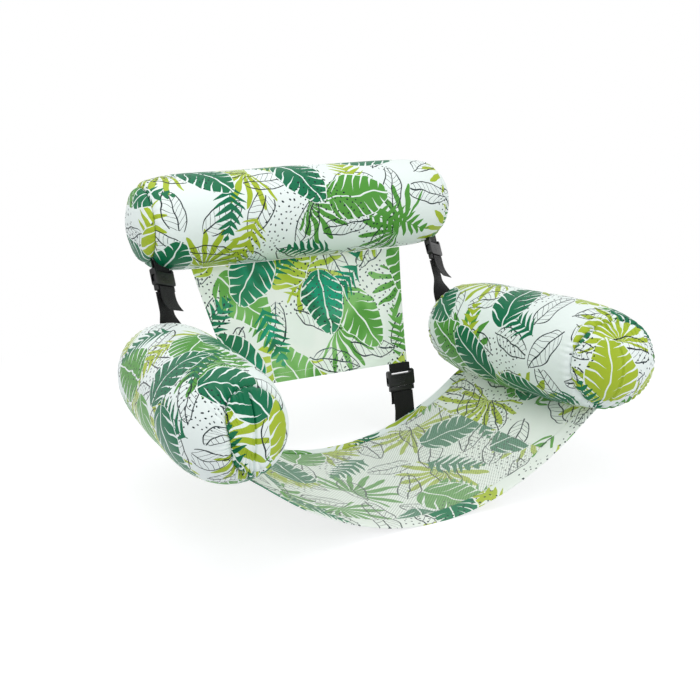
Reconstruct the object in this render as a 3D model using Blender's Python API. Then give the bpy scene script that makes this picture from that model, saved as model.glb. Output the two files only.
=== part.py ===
"""Inflatable pool chair: a headrest tube and two arm tubes of printed fabric over air chambers,
a back panel, a mesh seat slung between the arms, and four buckled webbing straps.

Metres. +Z is up, -Y is the front of the chair and +X is on the right as seen from the front.
The origin is on the floor, under the middle of the chair."""

from math import atan2, cos, pi, radians, sin, sqrt, tan

import bmesh
import bpy
from mathutils import Matrix, Vector

# Tubes
TUBE_SIDES = 24
CHAMBER_SIDES = 12
COVER_WALL = 0.0012
CHAMBER_WALL = 0.0008
FIT_GAP = 0.0003
SEAM_GAP = 0.0004
GATHERS = 12
GATHER_DEPTH = 0.0018
GATHER_REACH_SHARE = 0.1

# Headrest tube, along X
HEADREST_LENGTH = 0.609
HEADREST_RADIUS = 0.081
HEADREST_Y = 0.231
HEADREST_Z = 0.402
HEADREST_CROWN = 12
HEADREST_SEAM_SHARE = 0.92
HEADREST_BODY_SHARES = (0.0, 0.4, 0.7, 0.85)
HEADREST_CAP_SHARES = (0.96, 0.985)

# Arm tubes, roughly along Y, spread and raised a little at the front
ARM_LENGTH = 0.493
ARM_RADIUS = 0.0875
ARM_OUTSET = 0.0035
ARM_X = HEADREST_LENGTH / 2 + ARM_OUTSET
ARM_Y = -0.073
ARM_Z = 0.197
ARM_SPLAY = radians(4.8)
ARM_RISE = radians(4.0)
ARM_CROWN = 5
ARM_SEAM_SHARE = 0.82
ARM_BODY_SHARES = (0.0, 0.3, 0.55, 0.7)
ARM_CAP_SHARES = (0.9, 0.96)
ARM_SKEW = radians(20)
SKEW_START_SHARE = 0.1

# Valves, one on the axis of each tube
VALVE_SIDES = 12
VALVE_STEM_RADIUS = 0.006
VALVE_BORE_RADIUS = 0.0042
VALVE_FLANGE_RADIUS = 0.010
VALVE_FLANGE_THICKNESS = 0.0008
VALVE_STEM_HEIGHT = 0.006
VALVE_ROOM = 0.0012
VALVE_SEAT_RADIUS = 0.016
PLUG_HEAD_RADIUS = 0.0075
PLUG_HEAD_THICKNESS = 0.002
PLUG_SHANK_LENGTH = 0.005

# Seat, a sling whose lowest strip lies flat on the floor
SEAT_FRONT_Y = -0.255
SEAT_REAR_Y = 0.091
SEAT_BORDER_WIDTH = 0.032
SEAT_HEM_WIDTH = 0.018
SEAT_SHEET = 0.0012
SEAT_HEM_SHEET = 0.0024
SEAT_SEAM_TURN = radians(15)
SEAT_LEAN_SHARE = 0.65
SEAT_FLAT_SHARE = 0.066
SEAT_MESH_SHARE = 0.74
SEAT_MESH_SHARES = (0.16, 0.26, 0.38, 0.5, 0.62)
SEAT_SIDE_SHARES = (0.87,)

# Back panel, sewn under the headrest
PANEL_SEAM_TURN = radians(15)
PANEL_TOP_HALF_WIDTH = 0.205
PANEL_FOOT_HALF_WIDTH = 0.168
PANEL_FOOT_Y = 0.115
PANEL_FOOT_Z = 0.130
PANEL_SHEET = 0.0012
PANEL_SEAM_GAP = 0.0006
PANEL_HEM_WIDTH = 0.015
PANEL_HEM_SHEET = 0.0024
PANEL_FOLDS = 4
PANEL_FOLD_DEPTH = 0.0022
PANEL_ACROSS_STEPS = 24
PANEL_DOWN_STEPS = 6

# Webbing and the side-release buckles on it
WEBBING_WIDTH = 0.040
WEBBING_THICKNESS = 0.0012
WEBBING_LIFT = 0.0005
BAR_HEIGHT = 0.003
BAR_SIDES = 8
LOOP_STEPS = 6
TURN_SQUARE_SHARE = 0.7
LOOP_WINDOW = 0.004
BUCKLE_SIDE_GAP = 0.0006
SOCKET_WIDTH = 0.054
SOCKET_LENGTH = 0.022
SOCKET_THICKNESS = 0.011
SOCKET_SIDE_WALL = 0.0027
SOCKET_FACE_WALL = 0.002
SOCKET_DEPTH = 0.020
WINDOW_LENGTH = 0.012
WINDOW_START = 0.004
PRONG_WIDTH = 0.0035
PRONG_LENGTH = 0.0178
BASE_WIDTH = 0.050
BASE_LENGTH = 0.0087
BASE_BACK = 0.0045
BASE_BACK_PLATE = 0.0016
BASE_FRONT = 0.003
BASE_RECESS = 0.0027
PLUG_LAYER_OFFSET = 0.002
LAP_START = 0.001
LAP_BEND = 0.005
TAIL_STRAIGHT = 0.014
TAIL_STEPS = 4

# Upper straps, from the headrest to the rear of each arm
UPPER_STRAP_INSET = 0.0395
UPPER_STRAP_X = HEADREST_LENGTH / 2 - UPPER_STRAP_INSET
UPPER_SEAM_TURN = radians(30)
UPPER_STRAP_TURN = radians(38)
UPPER_SOCKET_GAP = 0.001
UPPER_LAP = 0.010
UPPER_TAIL = 0.043
UPPER_FLARE = 0.010
UPPER_OVERRUN = 0.025
ANCHOR_INSET = 0.0274
TWIST_START = 0.033
TWIST_STEPS = 6

# Lower straps, from the foot of the back panel to the seat's rear hem
LOWER_STRAP_INSET = 0.016
LOWER_STRAP_X = PANEL_FOOT_HALF_WIDTH - LOWER_STRAP_INSET
LOWER_BAR_TOP = 0.013
LOWER_LAP = 0.010
LOWER_TAIL = 0.030
LOWER_FLARE = 0.002

FABRIC = (0.80, 0.86, 0.78, 1.0)
FABRIC_GREEN = (0.10, 0.38, 0.16, 1.0)
MESH_FABRIC = (0.66, 0.78, 0.64, 1.0)
FILM = (0.75, 0.82, 0.85, 1.0)
VALVE_WHITE = (0.85, 0.86, 0.86, 1.0)
BLACK_WEBBING = (0.012, 0.012, 0.015, 1.0)
BLACK_PLASTIC = (0.016, 0.016, 0.018, 1.0)


def material(name, colour, roughness):
    """A plain Principled material."""
    found = bpy.data.materials.get(name)
    if found:
        return found
    made = bpy.data.materials.new(name)
    made.use_nodes = True
    shader = made.node_tree.nodes["Principled BSDF"]
    shader.inputs["Base Color"].default_value = colour
    shader.inputs["Roughness"].default_value = roughness
    shader.inputs["Metallic"].default_value = 0.0
    return made


def add_object(name, mesh_builder, look, matrix=None):
    """Turn a bmesh into a named object with its faces pointing out."""
    bmesh.ops.recalc_face_normals(mesh_builder, faces=mesh_builder.faces)
    mesh = bpy.data.meshes.new(name)
    mesh_builder.to_mesh(mesh)
    mesh_builder.free()
    mesh.materials.append(look)
    mesh.shade_smooth()
    mesh.set_sharp_from_angle(angle=radians(35))
    made = bpy.data.objects.new(name, mesh)
    bpy.context.scene.collection.objects.link(made)
    if matrix is not None:
        made.matrix_world = matrix
    return made


def frame_matrix(x_axis, y_axis, z_axis, origin):
    """A placement from three unit axes and an origin."""
    columns = Matrix((x_axis, y_axis, z_axis)).transposed().to_4x4()
    return Matrix.Translation(origin) @ columns


# Tubes

def headrest_tube():
    """The headrest's frame: its own Z runs along +X, and its own X points to the front."""
    matrix = frame_matrix((0, -1, 0), (0, 0, -1), (1, 0, 0), (0, HEADREST_Y, HEADREST_Z))
    return {
        "half": HEADREST_LENGTH / 2,
        "radius": HEADREST_RADIUS,
        "crown": HEADREST_CROWN,
        "seam": HEADREST_SEAM_SHARE,
        "body": HEADREST_BODY_SHARES,
        "cap": HEADREST_CAP_SHARES,
        "skew": 0.0,
        "turn": -1,
        "matrix": matrix,
    }


def arm_tube(side):
    """An arm's frame: its own Z runs to the front, and its own X points away from the seat."""
    forward = Vector((side * sin(ARM_SPLAY) * cos(ARM_RISE), -cos(ARM_SPLAY) * cos(ARM_RISE), sin(ARM_RISE)))
    outward = Vector((side * cos(ARM_SPLAY), sin(ARM_SPLAY), 0))
    matrix = frame_matrix(outward, forward.cross(outward), forward, (side * ARM_X, ARM_Y, ARM_Z))
    half = ARM_LENGTH / 2
    seam_radius = ARM_RADIUS * crown(ARM_SEAM_SHARE, ARM_CROWN)
    return {
        "half": half,
        "radius": ARM_RADIUS,
        "crown": ARM_CROWN,
        "seam": ARM_SEAM_SHARE,
        "body": ARM_BODY_SHARES,
        "cap": ARM_CAP_SHARES,
        "skew": tan(ARM_SKEW) * seam_radius / half,
        "turn": side,
        "matrix": matrix,
    }


def crown(share, power):
    """The tube's radius, as a share of its full radius, at a share of its half length."""
    return sqrt(max(0.0, 1 - abs(share) ** power))


def smooth(value):
    held = min(1.0, max(0.0, value))
    return held * held * (3 - 2 * held)


def skew_at(tube, share):
    """How far the front seam's plane has turned at this share, as a share of the half length."""
    if share <= tube["seam"]:
        return tube["skew"] * smooth((share - SKEW_START_SHARE) / (tube["seam"] - SKEW_START_SHARE))
    return tube["skew"] * (1 - share) / (1 - tube["seam"])


def tube_ring(tube, share, sides, radial_inset, end_inset):
    """One ring of points round the tube, gathered near its seams."""
    radius = tube["radius"] - radial_inset
    half = tube["half"] - end_inset
    points = []
    for step in range(sides):
        angle = 2 * pi * step / sides
        along = share + skew_at(tube, share) * cos(angle)
        nearness = max(0.0, 1 - abs(abs(share) - tube["seam"]) / GATHER_REACH_SHARE)
        gather = GATHER_DEPTH * nearness * (1 + cos(GATHERS * angle)) / 2
        reach = radius * crown(along, tube["crown"]) - gather
        points.append((reach * cos(angle), tube["turn"] * reach * sin(angle), along * half))
    return points


def round_ring(tube, end, radius, sides, end_inset):
    """A small round ring near the tube's tip, at the crown's own height for that radius."""
    half = tube["half"] - end_inset
    share = (1 - (radius / tube["radius"]) ** 2) ** (1 / tube["crown"])
    points = []
    for step in range(sides):
        angle = 2 * pi * step / sides
        points.append((radius * cos(angle), tube["turn"] * radius * sin(angle), end * share * half))
    return points


def shell(name, outer, inner, tips, look, matrix):
    """A closed wall between two stacks of rings. Tips are closed by a point at each True end."""
    build = bmesh.new()

    def stack(rings, tip_heights):
        rows = [[build.verts.new(point) for point in ring] for ring in rings]
        count = len(rows[0])
        for lower, upper in zip(rows, rows[1:]):
            for step in range(count):
                after = (step + 1) % count
                build.faces.new((lower[step], lower[after], upper[after], upper[step]))
        for row, height in ((rows[0], tip_heights[0]), (rows[-1], tip_heights[1])):
            if height is not None:
                tip = build.verts.new((0, 0, height))
                for step in range(count):
                    build.faces.new((row[step], row[(step + 1) % count], tip))
        return rows

    outer_rows = stack(outer, tips[0])
    inner_rows = stack(inner, tips[1])
    for end, height in ((0, tips[0][0]), (-1, tips[0][1])):
        if height is None:
            count = len(outer_rows[end])
            for step in range(count):
                after = (step + 1) % count
                build.faces.new((
                    outer_rows[end][step], outer_rows[end][after],
                    inner_rows[end][after], inner_rows[end][step],
                ))
    return add_object(name, build, look, matrix)


def body_shares(tube):
    """Ring places from seam to seam."""
    places = list(tube["body"]) + [tube["seam"]]
    return [-place for place in reversed(places[1:])] + places


def cover(name, tube, look):
    """The tube's printed fabric between its two end seams."""
    shares = body_shares(tube)
    outer = [tube_ring(tube, share, TUBE_SIDES, 0, 0) for share in shares]
    inner = [tube_ring(tube, share, TUBE_SIDES, COVER_WALL, COVER_WALL) for share in shares]
    return shell(name, outer, inner, ((None, None), (None, None)), look, tube["matrix"])


def cap_shares(tube):
    """Ring places from just past the seam toward the tip."""
    return [tube["seam"] + SEAM_GAP / tube["half"]] + list(tube["cap"])


def cap(name, tube, end, has_port, look):
    """One end of the fabric, sewn on round the seam. With a port, a valve stem comes through."""
    shares = [end * share for share in cap_shares(tube)]
    port = VALVE_STEM_RADIUS + FIT_GAP
    stacks = []
    for inset in (0, COVER_WALL):
        rings = [tube_ring(tube, share, TUBE_SIDES, inset, inset) for share in shares]
        rings.append(round_ring(tube, end, VALVE_SEAT_RADIUS, TUBE_SIDES, inset))
        if has_port:
            rings.append(round_ring(tube, end, port, TUBE_SIDES, inset))
        stacks.append(rings)
    outer_tip = None if has_port else end * tube["half"]
    inner_tip = None if has_port else end * (tube["half"] - COVER_WALL)
    return shell(name, stacks[0], stacks[1], ((None, outer_tip), (None, inner_tip)), look, tube["matrix"])


def chamber_inset():
    """How far the air chamber's tips stand back, so that the valve's flange fits in front."""
    return COVER_WALL + VALVE_ROOM + VALVE_FLANGE_THICKNESS + 2 * FIT_GAP


def chamber(name, tube, valve_end, look):
    """The air chamber: a thin film inside the cover, open only at its valve."""
    ends = [share for share in (tube["seam"],) + tube["cap"]]
    middle = tube["body"][2]
    shares = [-share for share in reversed(ends)] + [-middle, 0.0, middle] + ends
    stacks = []
    for wall in (0, CHAMBER_WALL):
        radial = COVER_WALL + FIT_GAP + wall
        inset = chamber_inset() + wall
        rings = [tube_ring(tube, share, CHAMBER_SIDES, radial, inset) for share in shares]
        near = round_ring(tube, valve_end, VALVE_SEAT_RADIUS, CHAMBER_SIDES, inset)
        mouth = round_ring(tube, valve_end, VALVE_BORE_RADIUS + FIT_GAP, CHAMBER_SIDES, inset)
        rings = rings + [near, mouth] if valve_end > 0 else [mouth, near] + rings
        stacks.append(rings)
    tips = []
    for wall in (0, CHAMBER_WALL):
        blind = -valve_end * (tube["half"] - chamber_inset() - wall)
        tips.append((blind, None) if valve_end > 0 else (None, blind))
    return shell(name, stacks[0], stacks[1], tips, look, tube["matrix"])


def turned(name, profile, look, matrix, closed_ring):
    """A turned piece from (radius, height) pairs, a ring or a solid whose ends lie on the axis."""
    build = bmesh.new()
    rows = []
    for radius, height in profile:
        if radius == 0:
            rows.append([build.verts.new((0, 0, height))])
            continue
        row = []
        for step in range(VALVE_SIDES):
            angle = 2 * pi * step / VALVE_SIDES
            row.append(build.verts.new((radius * cos(angle), radius * sin(angle), height)))
        rows.append(row)
    pairs = list(zip(rows, rows[1:]))
    if closed_ring:
        pairs.append((rows[-1], rows[0]))
    for first, second in pairs:
        for step in range(VALVE_SIDES):
            after = (step + 1) % VALVE_SIDES
            corners = [first[step % len(first)], first[after % len(first)]]
            corners += [second[after % len(second)], second[step % len(second)]]
            distinct = []
            for corner in corners:
                if corner not in distinct:
                    distinct.append(corner)
            build.faces.new(distinct)
    return add_object(name, build, look, matrix)


def valve(prefix, tube, end, look):
    """A valve stem through the end cap and its push-in plug, on the tube's axis."""
    foot = tube["half"] - chamber_inset() + FIT_GAP
    flange_top = foot + VALVE_FLANGE_THICKNESS
    rim = tube["half"] + VALVE_STEM_HEIGHT
    stem = [
        (VALVE_BORE_RADIUS, end * foot),
        (VALVE_FLANGE_RADIUS, end * foot),
        (VALVE_FLANGE_RADIUS, end * flange_top),
        (VALVE_STEM_RADIUS, end * flange_top),
        (VALVE_STEM_RADIUS, end * rim),
        (VALVE_BORE_RADIUS, end * rim),
    ]
    turned(prefix + "_valve_stem", stem, look, tube["matrix"], True)
    shank = VALVE_BORE_RADIUS - FIT_GAP
    seat = rim + FIT_GAP
    plug = [
        (0, end * (rim - PLUG_SHANK_LENGTH)),
        (shank, end * (rim - PLUG_SHANK_LENGTH)),
        (shank, end * seat),
        (PLUG_HEAD_RADIUS, end * seat),
        (PLUG_HEAD_RADIUS, end * (seat + PLUG_HEAD_THICKNESS)),
        (0, end * (seat + PLUG_HEAD_THICKNESS)),
    ]
    turned(prefix + "_valve_plug", plug, look, tube["matrix"], False)


# Seat

def seam_index(turn_from_down, toward):
    """The ring point that lies this far from straight down, toward the tube's own +X or -X."""
    angle = 1.5 * pi + toward * turn_from_down
    return round(angle / (2 * pi) * TUBE_SIDES) % TUBE_SIDES


def arm_seam_point(tube, y_value):
    """The point at this Y on the line along the arm's underside where the seat is sewn on."""
    index = seam_index(SEAT_SEAM_TURN, -1)
    line = []
    for share in body_shares(tube):
        line.append(tube["matrix"] @ Vector(tube_ring(tube, share, TUBE_SIDES, 0, 0)[index]))
    for rear, front in zip(line, line[1:]):
        if front.y <= y_value <= rear.y:
            return rear.lerp(front, (rear.y - y_value) / (rear.y - front.y))
    return line[-1] if y_value < line[-1].y else line[0]


def seat_edge(y_value, sheet):
    """Half width and height of the seat's underside at its seam with the right arm."""
    tube = arm_tube(1)
    point = arm_seam_point(tube, y_value)
    away = FIT_GAP + SEAT_LEAN_SHARE * sheet
    return point.x - away * sin(SEAT_SEAM_TURN), point.z - away * cos(SEAT_SEAM_TURN)


def seat_section(y_value, shares, sheet):
    """Underside and top points across the seat, from left to right, at one Y."""
    edge_x, edge_z = seat_edge(y_value, sheet)
    flat = SEAT_FLAT_SHARE ** 2
    under = []
    top = []
    for share in shares:
        height = edge_z * max(0.0, share ** 2 - flat) / (1 - flat)
        slope = 0.0 if abs(share) <= SEAT_FLAT_SHARE else 2 * edge_z * share / (edge_x * (1 - flat))
        lean = atan2(slope, 1)
        place = Vector((share * edge_x, y_value, height))
        under.append(place)
        top.append(place + sheet * Vector((-sin(lean), 0, cos(lean))))
    return under, top


def slab(name, sections, look):
    """A closed sheet from rows of underside and top points."""
    build = bmesh.new()
    rows = []
    for under, top in sections:
        rows.append(([build.verts.new(p) for p in under], [build.verts.new(p) for p in top]))
    for (under_a, top_a), (under_b, top_b) in zip(rows, rows[1:]):
        for step in range(len(under_a) - 1):
            build.faces.new((under_a[step], under_b[step], under_b[step + 1], under_a[step + 1]))
            build.faces.new((top_a[step], top_a[step + 1], top_b[step + 1], top_b[step]))
        for step in (0, -1):
            build.faces.new((under_a[step], top_a[step], top_b[step], under_b[step]))
    for under, top in (rows[0], rows[-1]):
        for step in range(len(under) - 1):
            build.faces.new((under[step], under[step + 1], top[step + 1], top[step]))
    return add_object(name, build, look)


def both_ways(shares):
    """The given shares and their opposites, in order."""
    return [-share for share in reversed(shares)] + list(shares)


def length_places(start, end, steps):
    return [start + (end - start) * step / steps for step in range(steps + 1)]


def seam_places(front, rear):
    """Y values from front to rear, with each place where the arm's seam line bends."""
    tube = arm_tube(1)
    index = seam_index(SEAT_SEAM_TURN, -1)
    bends = []
    for share in body_shares(tube):
        bends.append((tube["matrix"] @ Vector(tube_ring(tube, share, TUBE_SIDES, 0, 0)[index])).y)
    return [front] + sorted(y for y in bends if front < y < rear) + [rear]


def seat():
    """The slung seat: front border, mesh, two side panels and the rear hem."""
    printed = material("printed_fabric", FABRIC, 0.45)
    mesh_look = material("mesh_fabric", MESH_FABRIC, 0.6)
    side_cut = SEAT_MESH_SHARE + SEAM_GAP / seat_edge(0, SEAT_SHEET)[0]
    half_shares = (SEAT_FLAT_SHARE,) + SEAT_MESH_SHARES + (SEAT_MESH_SHARE,)
    full = both_ways(half_shares + SEAT_SIDE_SHARES + (1.0,))
    border_end = SEAT_FRONT_Y + SEAT_BORDER_WIDTH
    hem_start = SEAT_REAR_Y - SEAT_HEM_WIDTH
    border = [seat_section(y, full, SEAT_SHEET) for y in seam_places(SEAT_FRONT_Y, border_end)]
    slab("seat_front_border", border, printed)
    hem = [seat_section(y, full, SEAT_HEM_SHEET) for y in seam_places(hem_start, SEAT_REAR_Y)]
    slab("seat_rear_hem", hem, material("hem_fabric", FABRIC_GREEN, 0.45))
    places = seam_places(border_end + SEAM_GAP, hem_start - SEAM_GAP)
    middle = both_ways(half_shares)
    slab("seat_mesh", [seat_section(y, middle, SEAT_SHEET) for y in places], mesh_look)
    side = [side_cut] + list(SEAT_SIDE_SHARES) + [1.0]
    slab("seat_side_panel_right", [seat_section(y, side, SEAT_SHEET) for y in places], printed)
    other = [-share for share in reversed(side)]
    slab("seat_side_panel_left", [seat_section(y, other, SEAT_SHEET) for y in places], printed)


# Back panel

def headrest_seam(turn):
    """Y and Z on the line along the headrest's underside, this far toward the front."""
    reach = HEADREST_RADIUS
    return Vector((0, HEADREST_Y - reach * sin(turn), HEADREST_Z - reach * cos(turn)))


def panel_line():
    """Top and foot of the back panel's middle line."""
    top = headrest_seam(PANEL_SEAM_TURN)
    foot = Vector((0, PANEL_FOOT_Y, PANEL_FOOT_Z))
    along = (foot - top).normalized()
    return top + along * PANEL_SEAM_GAP, foot


def panel_section(depth, sheet, folded):
    """One row across the panel at a distance below its top line."""
    top, foot = panel_line()
    length = (foot - top).length
    along = (foot - top) / length
    out = Vector((1, 0, 0)).cross(along)
    share = depth / length
    half = PANEL_TOP_HALF_WIDTH + (PANEL_FOOT_HALF_WIDTH - PANEL_TOP_HALF_WIDTH) * share
    front = []
    back = []
    for step in range(PANEL_ACROSS_STEPS + 1):
        across = 2 * step / PANEL_ACROSS_STEPS - 1
        fold = PANEL_FOLD_DEPTH * sin(pi * share) * cos(PANEL_FOLDS * pi * across) if folded else 0.0
        centre = top + along * depth + Vector((across * half, 0, 0)) + out * fold
        front.append(centre - out * sheet / 2)
        back.append(centre + out * sheet / 2)
    return front, back


def back_panel():
    """The back panel with its soft upright folds, and the doubled hem at its foot."""
    top, foot = panel_line()
    length = (foot - top).length
    fabric_end = length - PANEL_HEM_WIDTH
    rows = [panel_section(d, PANEL_SHEET, True) for d in length_places(0, fabric_end, PANEL_DOWN_STEPS)]
    slab("back_panel", rows, material("printed_fabric", FABRIC, 0.45))
    hem_rows = [panel_section(d, PANEL_HEM_SHEET, True) for d in (fabric_end + SEAM_GAP, length)]
    slab("back_panel_hem", hem_rows, material("hem_fabric", FABRIC_GREEN, 0.45))


# Straps and buckles. Along a strap, distance is measured down from its upper seam.

def strap_frame(x_value, start, end, turn):
    """A strap's frame at its upper seam: its own Z points back up the strap, its own Y to the rear.

    The turn is how far the buckle hangs turned about the strap's own line."""
    up = (start - end).normalized()
    rear = up.cross(Vector((1, 0, 0)))
    origin = Vector((x_value, start.y, start.z))
    return frame_matrix((1, 0, 0), rear, up, origin) @ Matrix.Rotation(turn, 4, "Z")


def anchor_layer():
    """How far the sewn-on webbing lies from the strap's middle, just clear of the plug."""
    return BASE_BACK + FIT_GAP + WEBBING_THICKNESS / 2


def strap_end(start, anchor, offset):
    """The strap's lower end, placed so that a layer this far behind the strap meets the anchor."""
    span = anchor - start
    length = sqrt(span.length_squared - offset ** 2)
    turn = Matrix.Rotation(-atan2(offset, length), 3, "X")
    return start + turn @ span.normalized() * length


def headrest_radius(x_value):
    return HEADREST_RADIUS * crown(2 * x_value / HEADREST_LENGTH, HEADREST_CROWN)


def anchor_point():
    """The top of the arm's rear end, in line with the upper strap."""
    tube = arm_tube(1)
    share = 1 - ANCHOR_INSET / tube["half"]
    axis = tube["matrix"] @ Vector((0, 0, -share * tube["half"]))
    radius = ARM_RADIUS * crown(share, ARM_CROWN)
    rise = sqrt(radius ** 2 - (axis.x - UPPER_STRAP_X) ** 2)
    return Vector((0, axis.y, axis.z + rise))


def upper_strap_ends():
    """From the headrest's own surface at the strap's middle to the top of the arm's rear end."""
    radius = headrest_radius(UPPER_STRAP_X)
    drop = Vector((0, radius * sin(UPPER_SEAM_TURN), radius * cos(UPPER_SEAM_TURN)))
    start = Vector((0, HEADREST_Y, HEADREST_Z)) - drop
    return start, strap_end(start, anchor_point(), anchor_layer())


def upper_bar_top():
    """The socket hangs low enough for its inner corner to clear the headrest's fuller part."""
    inner = headrest_radius(UPPER_STRAP_X - SOCKET_WIDTH / 2)
    return inner - headrest_radius(UPPER_STRAP_X) + UPPER_SOCKET_GAP


def hem_height(x_value):
    """Height of the rear hem's underside at this distance from the middle."""
    edge_x, edge_z = seat_edge(SEAT_REAR_Y, SEAT_HEM_SHEET)
    flat = SEAT_FLAT_SHARE ** 2
    return edge_z * ((x_value / edge_x) ** 2 - flat) / (1 - flat)


def lower_strap_ends():
    """From the back panel's foot to just above the hem at the webbing's outer edge."""
    foot = panel_line()[1]
    height = hem_height(LOWER_STRAP_X + WEBBING_WIDTH / 2) + 2 * SEAT_HEM_SHEET
    rear = SEAT_REAR_Y + FIT_GAP + WEBBING_THICKNESS / 2
    return foot, strap_end(foot, Vector((0, rear, height)), -anchor_layer())


def lower_flap(ends):
    """The last stretch, straight down behind the hem's rear edge, in the strap's frame."""
    start, end = ends
    up = (start - end).normalized()
    top = hem_height(LOWER_STRAP_X + WEBBING_WIDTH / 2) + 2 * SEAT_HEM_SHEET
    drop = top - hem_height(LOWER_STRAP_X - WEBBING_WIDTH / 2)
    return drop * up.y, drop * up.z


def box(build, low, high):
    """Add a box between two corners."""
    points = []
    for x_value in (low[0], high[0]):
        for y_value in (low[1], high[1]):
            for z_value in (low[2], high[2]):
                points.append(build.verts.new((x_value, y_value, z_value)))
    for corners in ((0, 1, 3, 2), (4, 6, 7, 5), (0, 4, 5, 1), (2, 3, 7, 6), (0, 2, 6, 4), (1, 5, 7, 3)):
        build.faces.new([points[corner] for corner in corners])


def box_object(name, low, high, look, matrix):
    build = bmesh.new()
    box(build, low, high)
    return add_object(name, build, look, matrix)


def boolean(target, cutter, operation):
    """Join a cutter or cut it out, then apply and remove it."""
    step = target.modifiers.new("boolean", "BOOLEAN")
    step.operation = operation
    step.object = cutter
    step.solver = "EXACT"
    graph = bpy.context.evaluated_depsgraph_get()
    result = bpy.data.meshes.new_from_object(target.evaluated_get(graph))
    target.modifiers.remove(step)
    old = target.data
    target.data = result
    bpy.data.meshes.remove(old)
    used = cutter.data
    bpy.data.objects.remove(cutter)
    bpy.data.meshes.remove(used)


def ribbon(name, path, look, matrix, turns=None):
    """Webbing along a path of (rear offset, distance down) pairs, as wide as the strap.

    Turns gives how far each place on the path is twisted about the strap's own line."""
    build = bmesh.new()
    half = WEBBING_THICKNESS / 2
    sides = []
    for place, (rear, down) in enumerate(path):
        before = path[max(0, place - 1)]
        after = path[min(len(path) - 1, place + 1)]
        run = Vector((after[0] - before[0], after[1] - before[1])).normalized()
        sides.append(((rear - half * run.y, down + half * run.x), (rear + half * run.y, down - half * run.x)))
    rows = []
    for x_value in (-WEBBING_WIDTH / 2, WEBBING_WIDTH / 2):
        row = []
        for place, pair in enumerate(sides):
            twist = Matrix.Rotation(turns[place] if turns else 0, 3, "Z")
            row.append([build.verts.new(twist @ Vector((x_value, rear, -down))) for rear, down in pair])
        rows.append(row)
    left, right = rows
    for place in range(len(path) - 1):
        for layer in (0, 1):
            build.faces.new((
                left[place][layer], left[place + 1][layer], right[place + 1][layer], right[place][layer],
            ))
        for row in rows:
            build.faces.new((row[place][0], row[place][1], row[place + 1][1], row[place + 1][0]))
    for place in (0, -1):
        build.faces.new((left[place][0], left[place][1], right[place][1], right[place][0]))
    return add_object(name, build, look, matrix)


def half_turn(rear_from, rear_to, level, rise, steps):
    """Points of a squarish half turn over or under a bar, from one layer to the other."""
    middle = (rear_from + rear_to) / 2
    reach = (rear_from - rear_to) / 2
    points = []
    for step in range(steps + 1):
        angle = pi * step / steps
        across = abs(cos(angle)) ** TURN_SQUARE_SHARE
        across = -across if 2 * step > steps else across
        points.append((middle + reach * across, level + rise * abs(sin(angle)) ** TURN_SQUARE_SHARE))
    return points


def bar_object(half_width, bar_top, look, matrix):
    """The socket's round bar, which the webbing loops under."""
    build = bmesh.new()
    place = Matrix.Translation((0, 0, -(bar_top + BAR_HEIGHT / 2)))
    turn = Matrix.Rotation(pi / 2, 4, "Y") @ Matrix.Rotation(pi / BAR_SIDES, 4, "Z")
    radius = BAR_HEIGHT / 2 / cos(pi / BAR_SIDES)
    bmesh.ops.create_cone(
        build, cap_ends=True, segments=BAR_SIDES, radius1=radius, radius2=radius,
        depth=2 * half_width, matrix=place @ turn,
    )
    return add_object("bar", build, look, matrix)


def socket_body_top(bar_top):
    return bar_top + BAR_HEIGHT + LOOP_WINDOW


def socket(name, bar_top, look, matrix):
    """The buckle's socket: a loop bar, side rails and a body with a mouth and two side windows."""
    rail = WEBBING_WIDTH / 2 + BUCKLE_SIDE_GAP
    half_width = SOCKET_WIDTH / 2
    half_thick = SOCKET_THICKNESS / 2
    body_top = socket_body_top(bar_top)
    mouth = body_top + SOCKET_LENGTH
    made = box_object(name, (-half_width, -half_thick, -mouth), (half_width, half_thick, -bar_top), look, matrix)
    low = (-rail, -SOCKET_THICKNESS, -body_top)
    high = (rail, SOCKET_THICKNESS, -(bar_top - BAR_HEIGHT))
    boolean(made, box_object("cut", low, high, look, matrix), "DIFFERENCE")
    boolean(made, bar_object(half_width - FIT_GAP, bar_top, look, matrix), "UNION")
    cavity = half_width - SOCKET_SIDE_WALL
    cavity_thick = half_thick - SOCKET_FACE_WALL
    low = (-cavity, -cavity_thick, -mouth - SOCKET_DEPTH)
    high = (cavity, cavity_thick, -(mouth - SOCKET_DEPTH))
    boolean(made, box_object("cut", low, high, look, matrix), "DIFFERENCE")
    window_top = body_top + WINDOW_START
    low = (-SOCKET_WIDTH, -cavity_thick, -(window_top + WINDOW_LENGTH))
    high = (SOCKET_WIDTH, cavity_thick, -window_top)
    boolean(made, box_object("cut", low, high, look, matrix), "DIFFERENCE")


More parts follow.
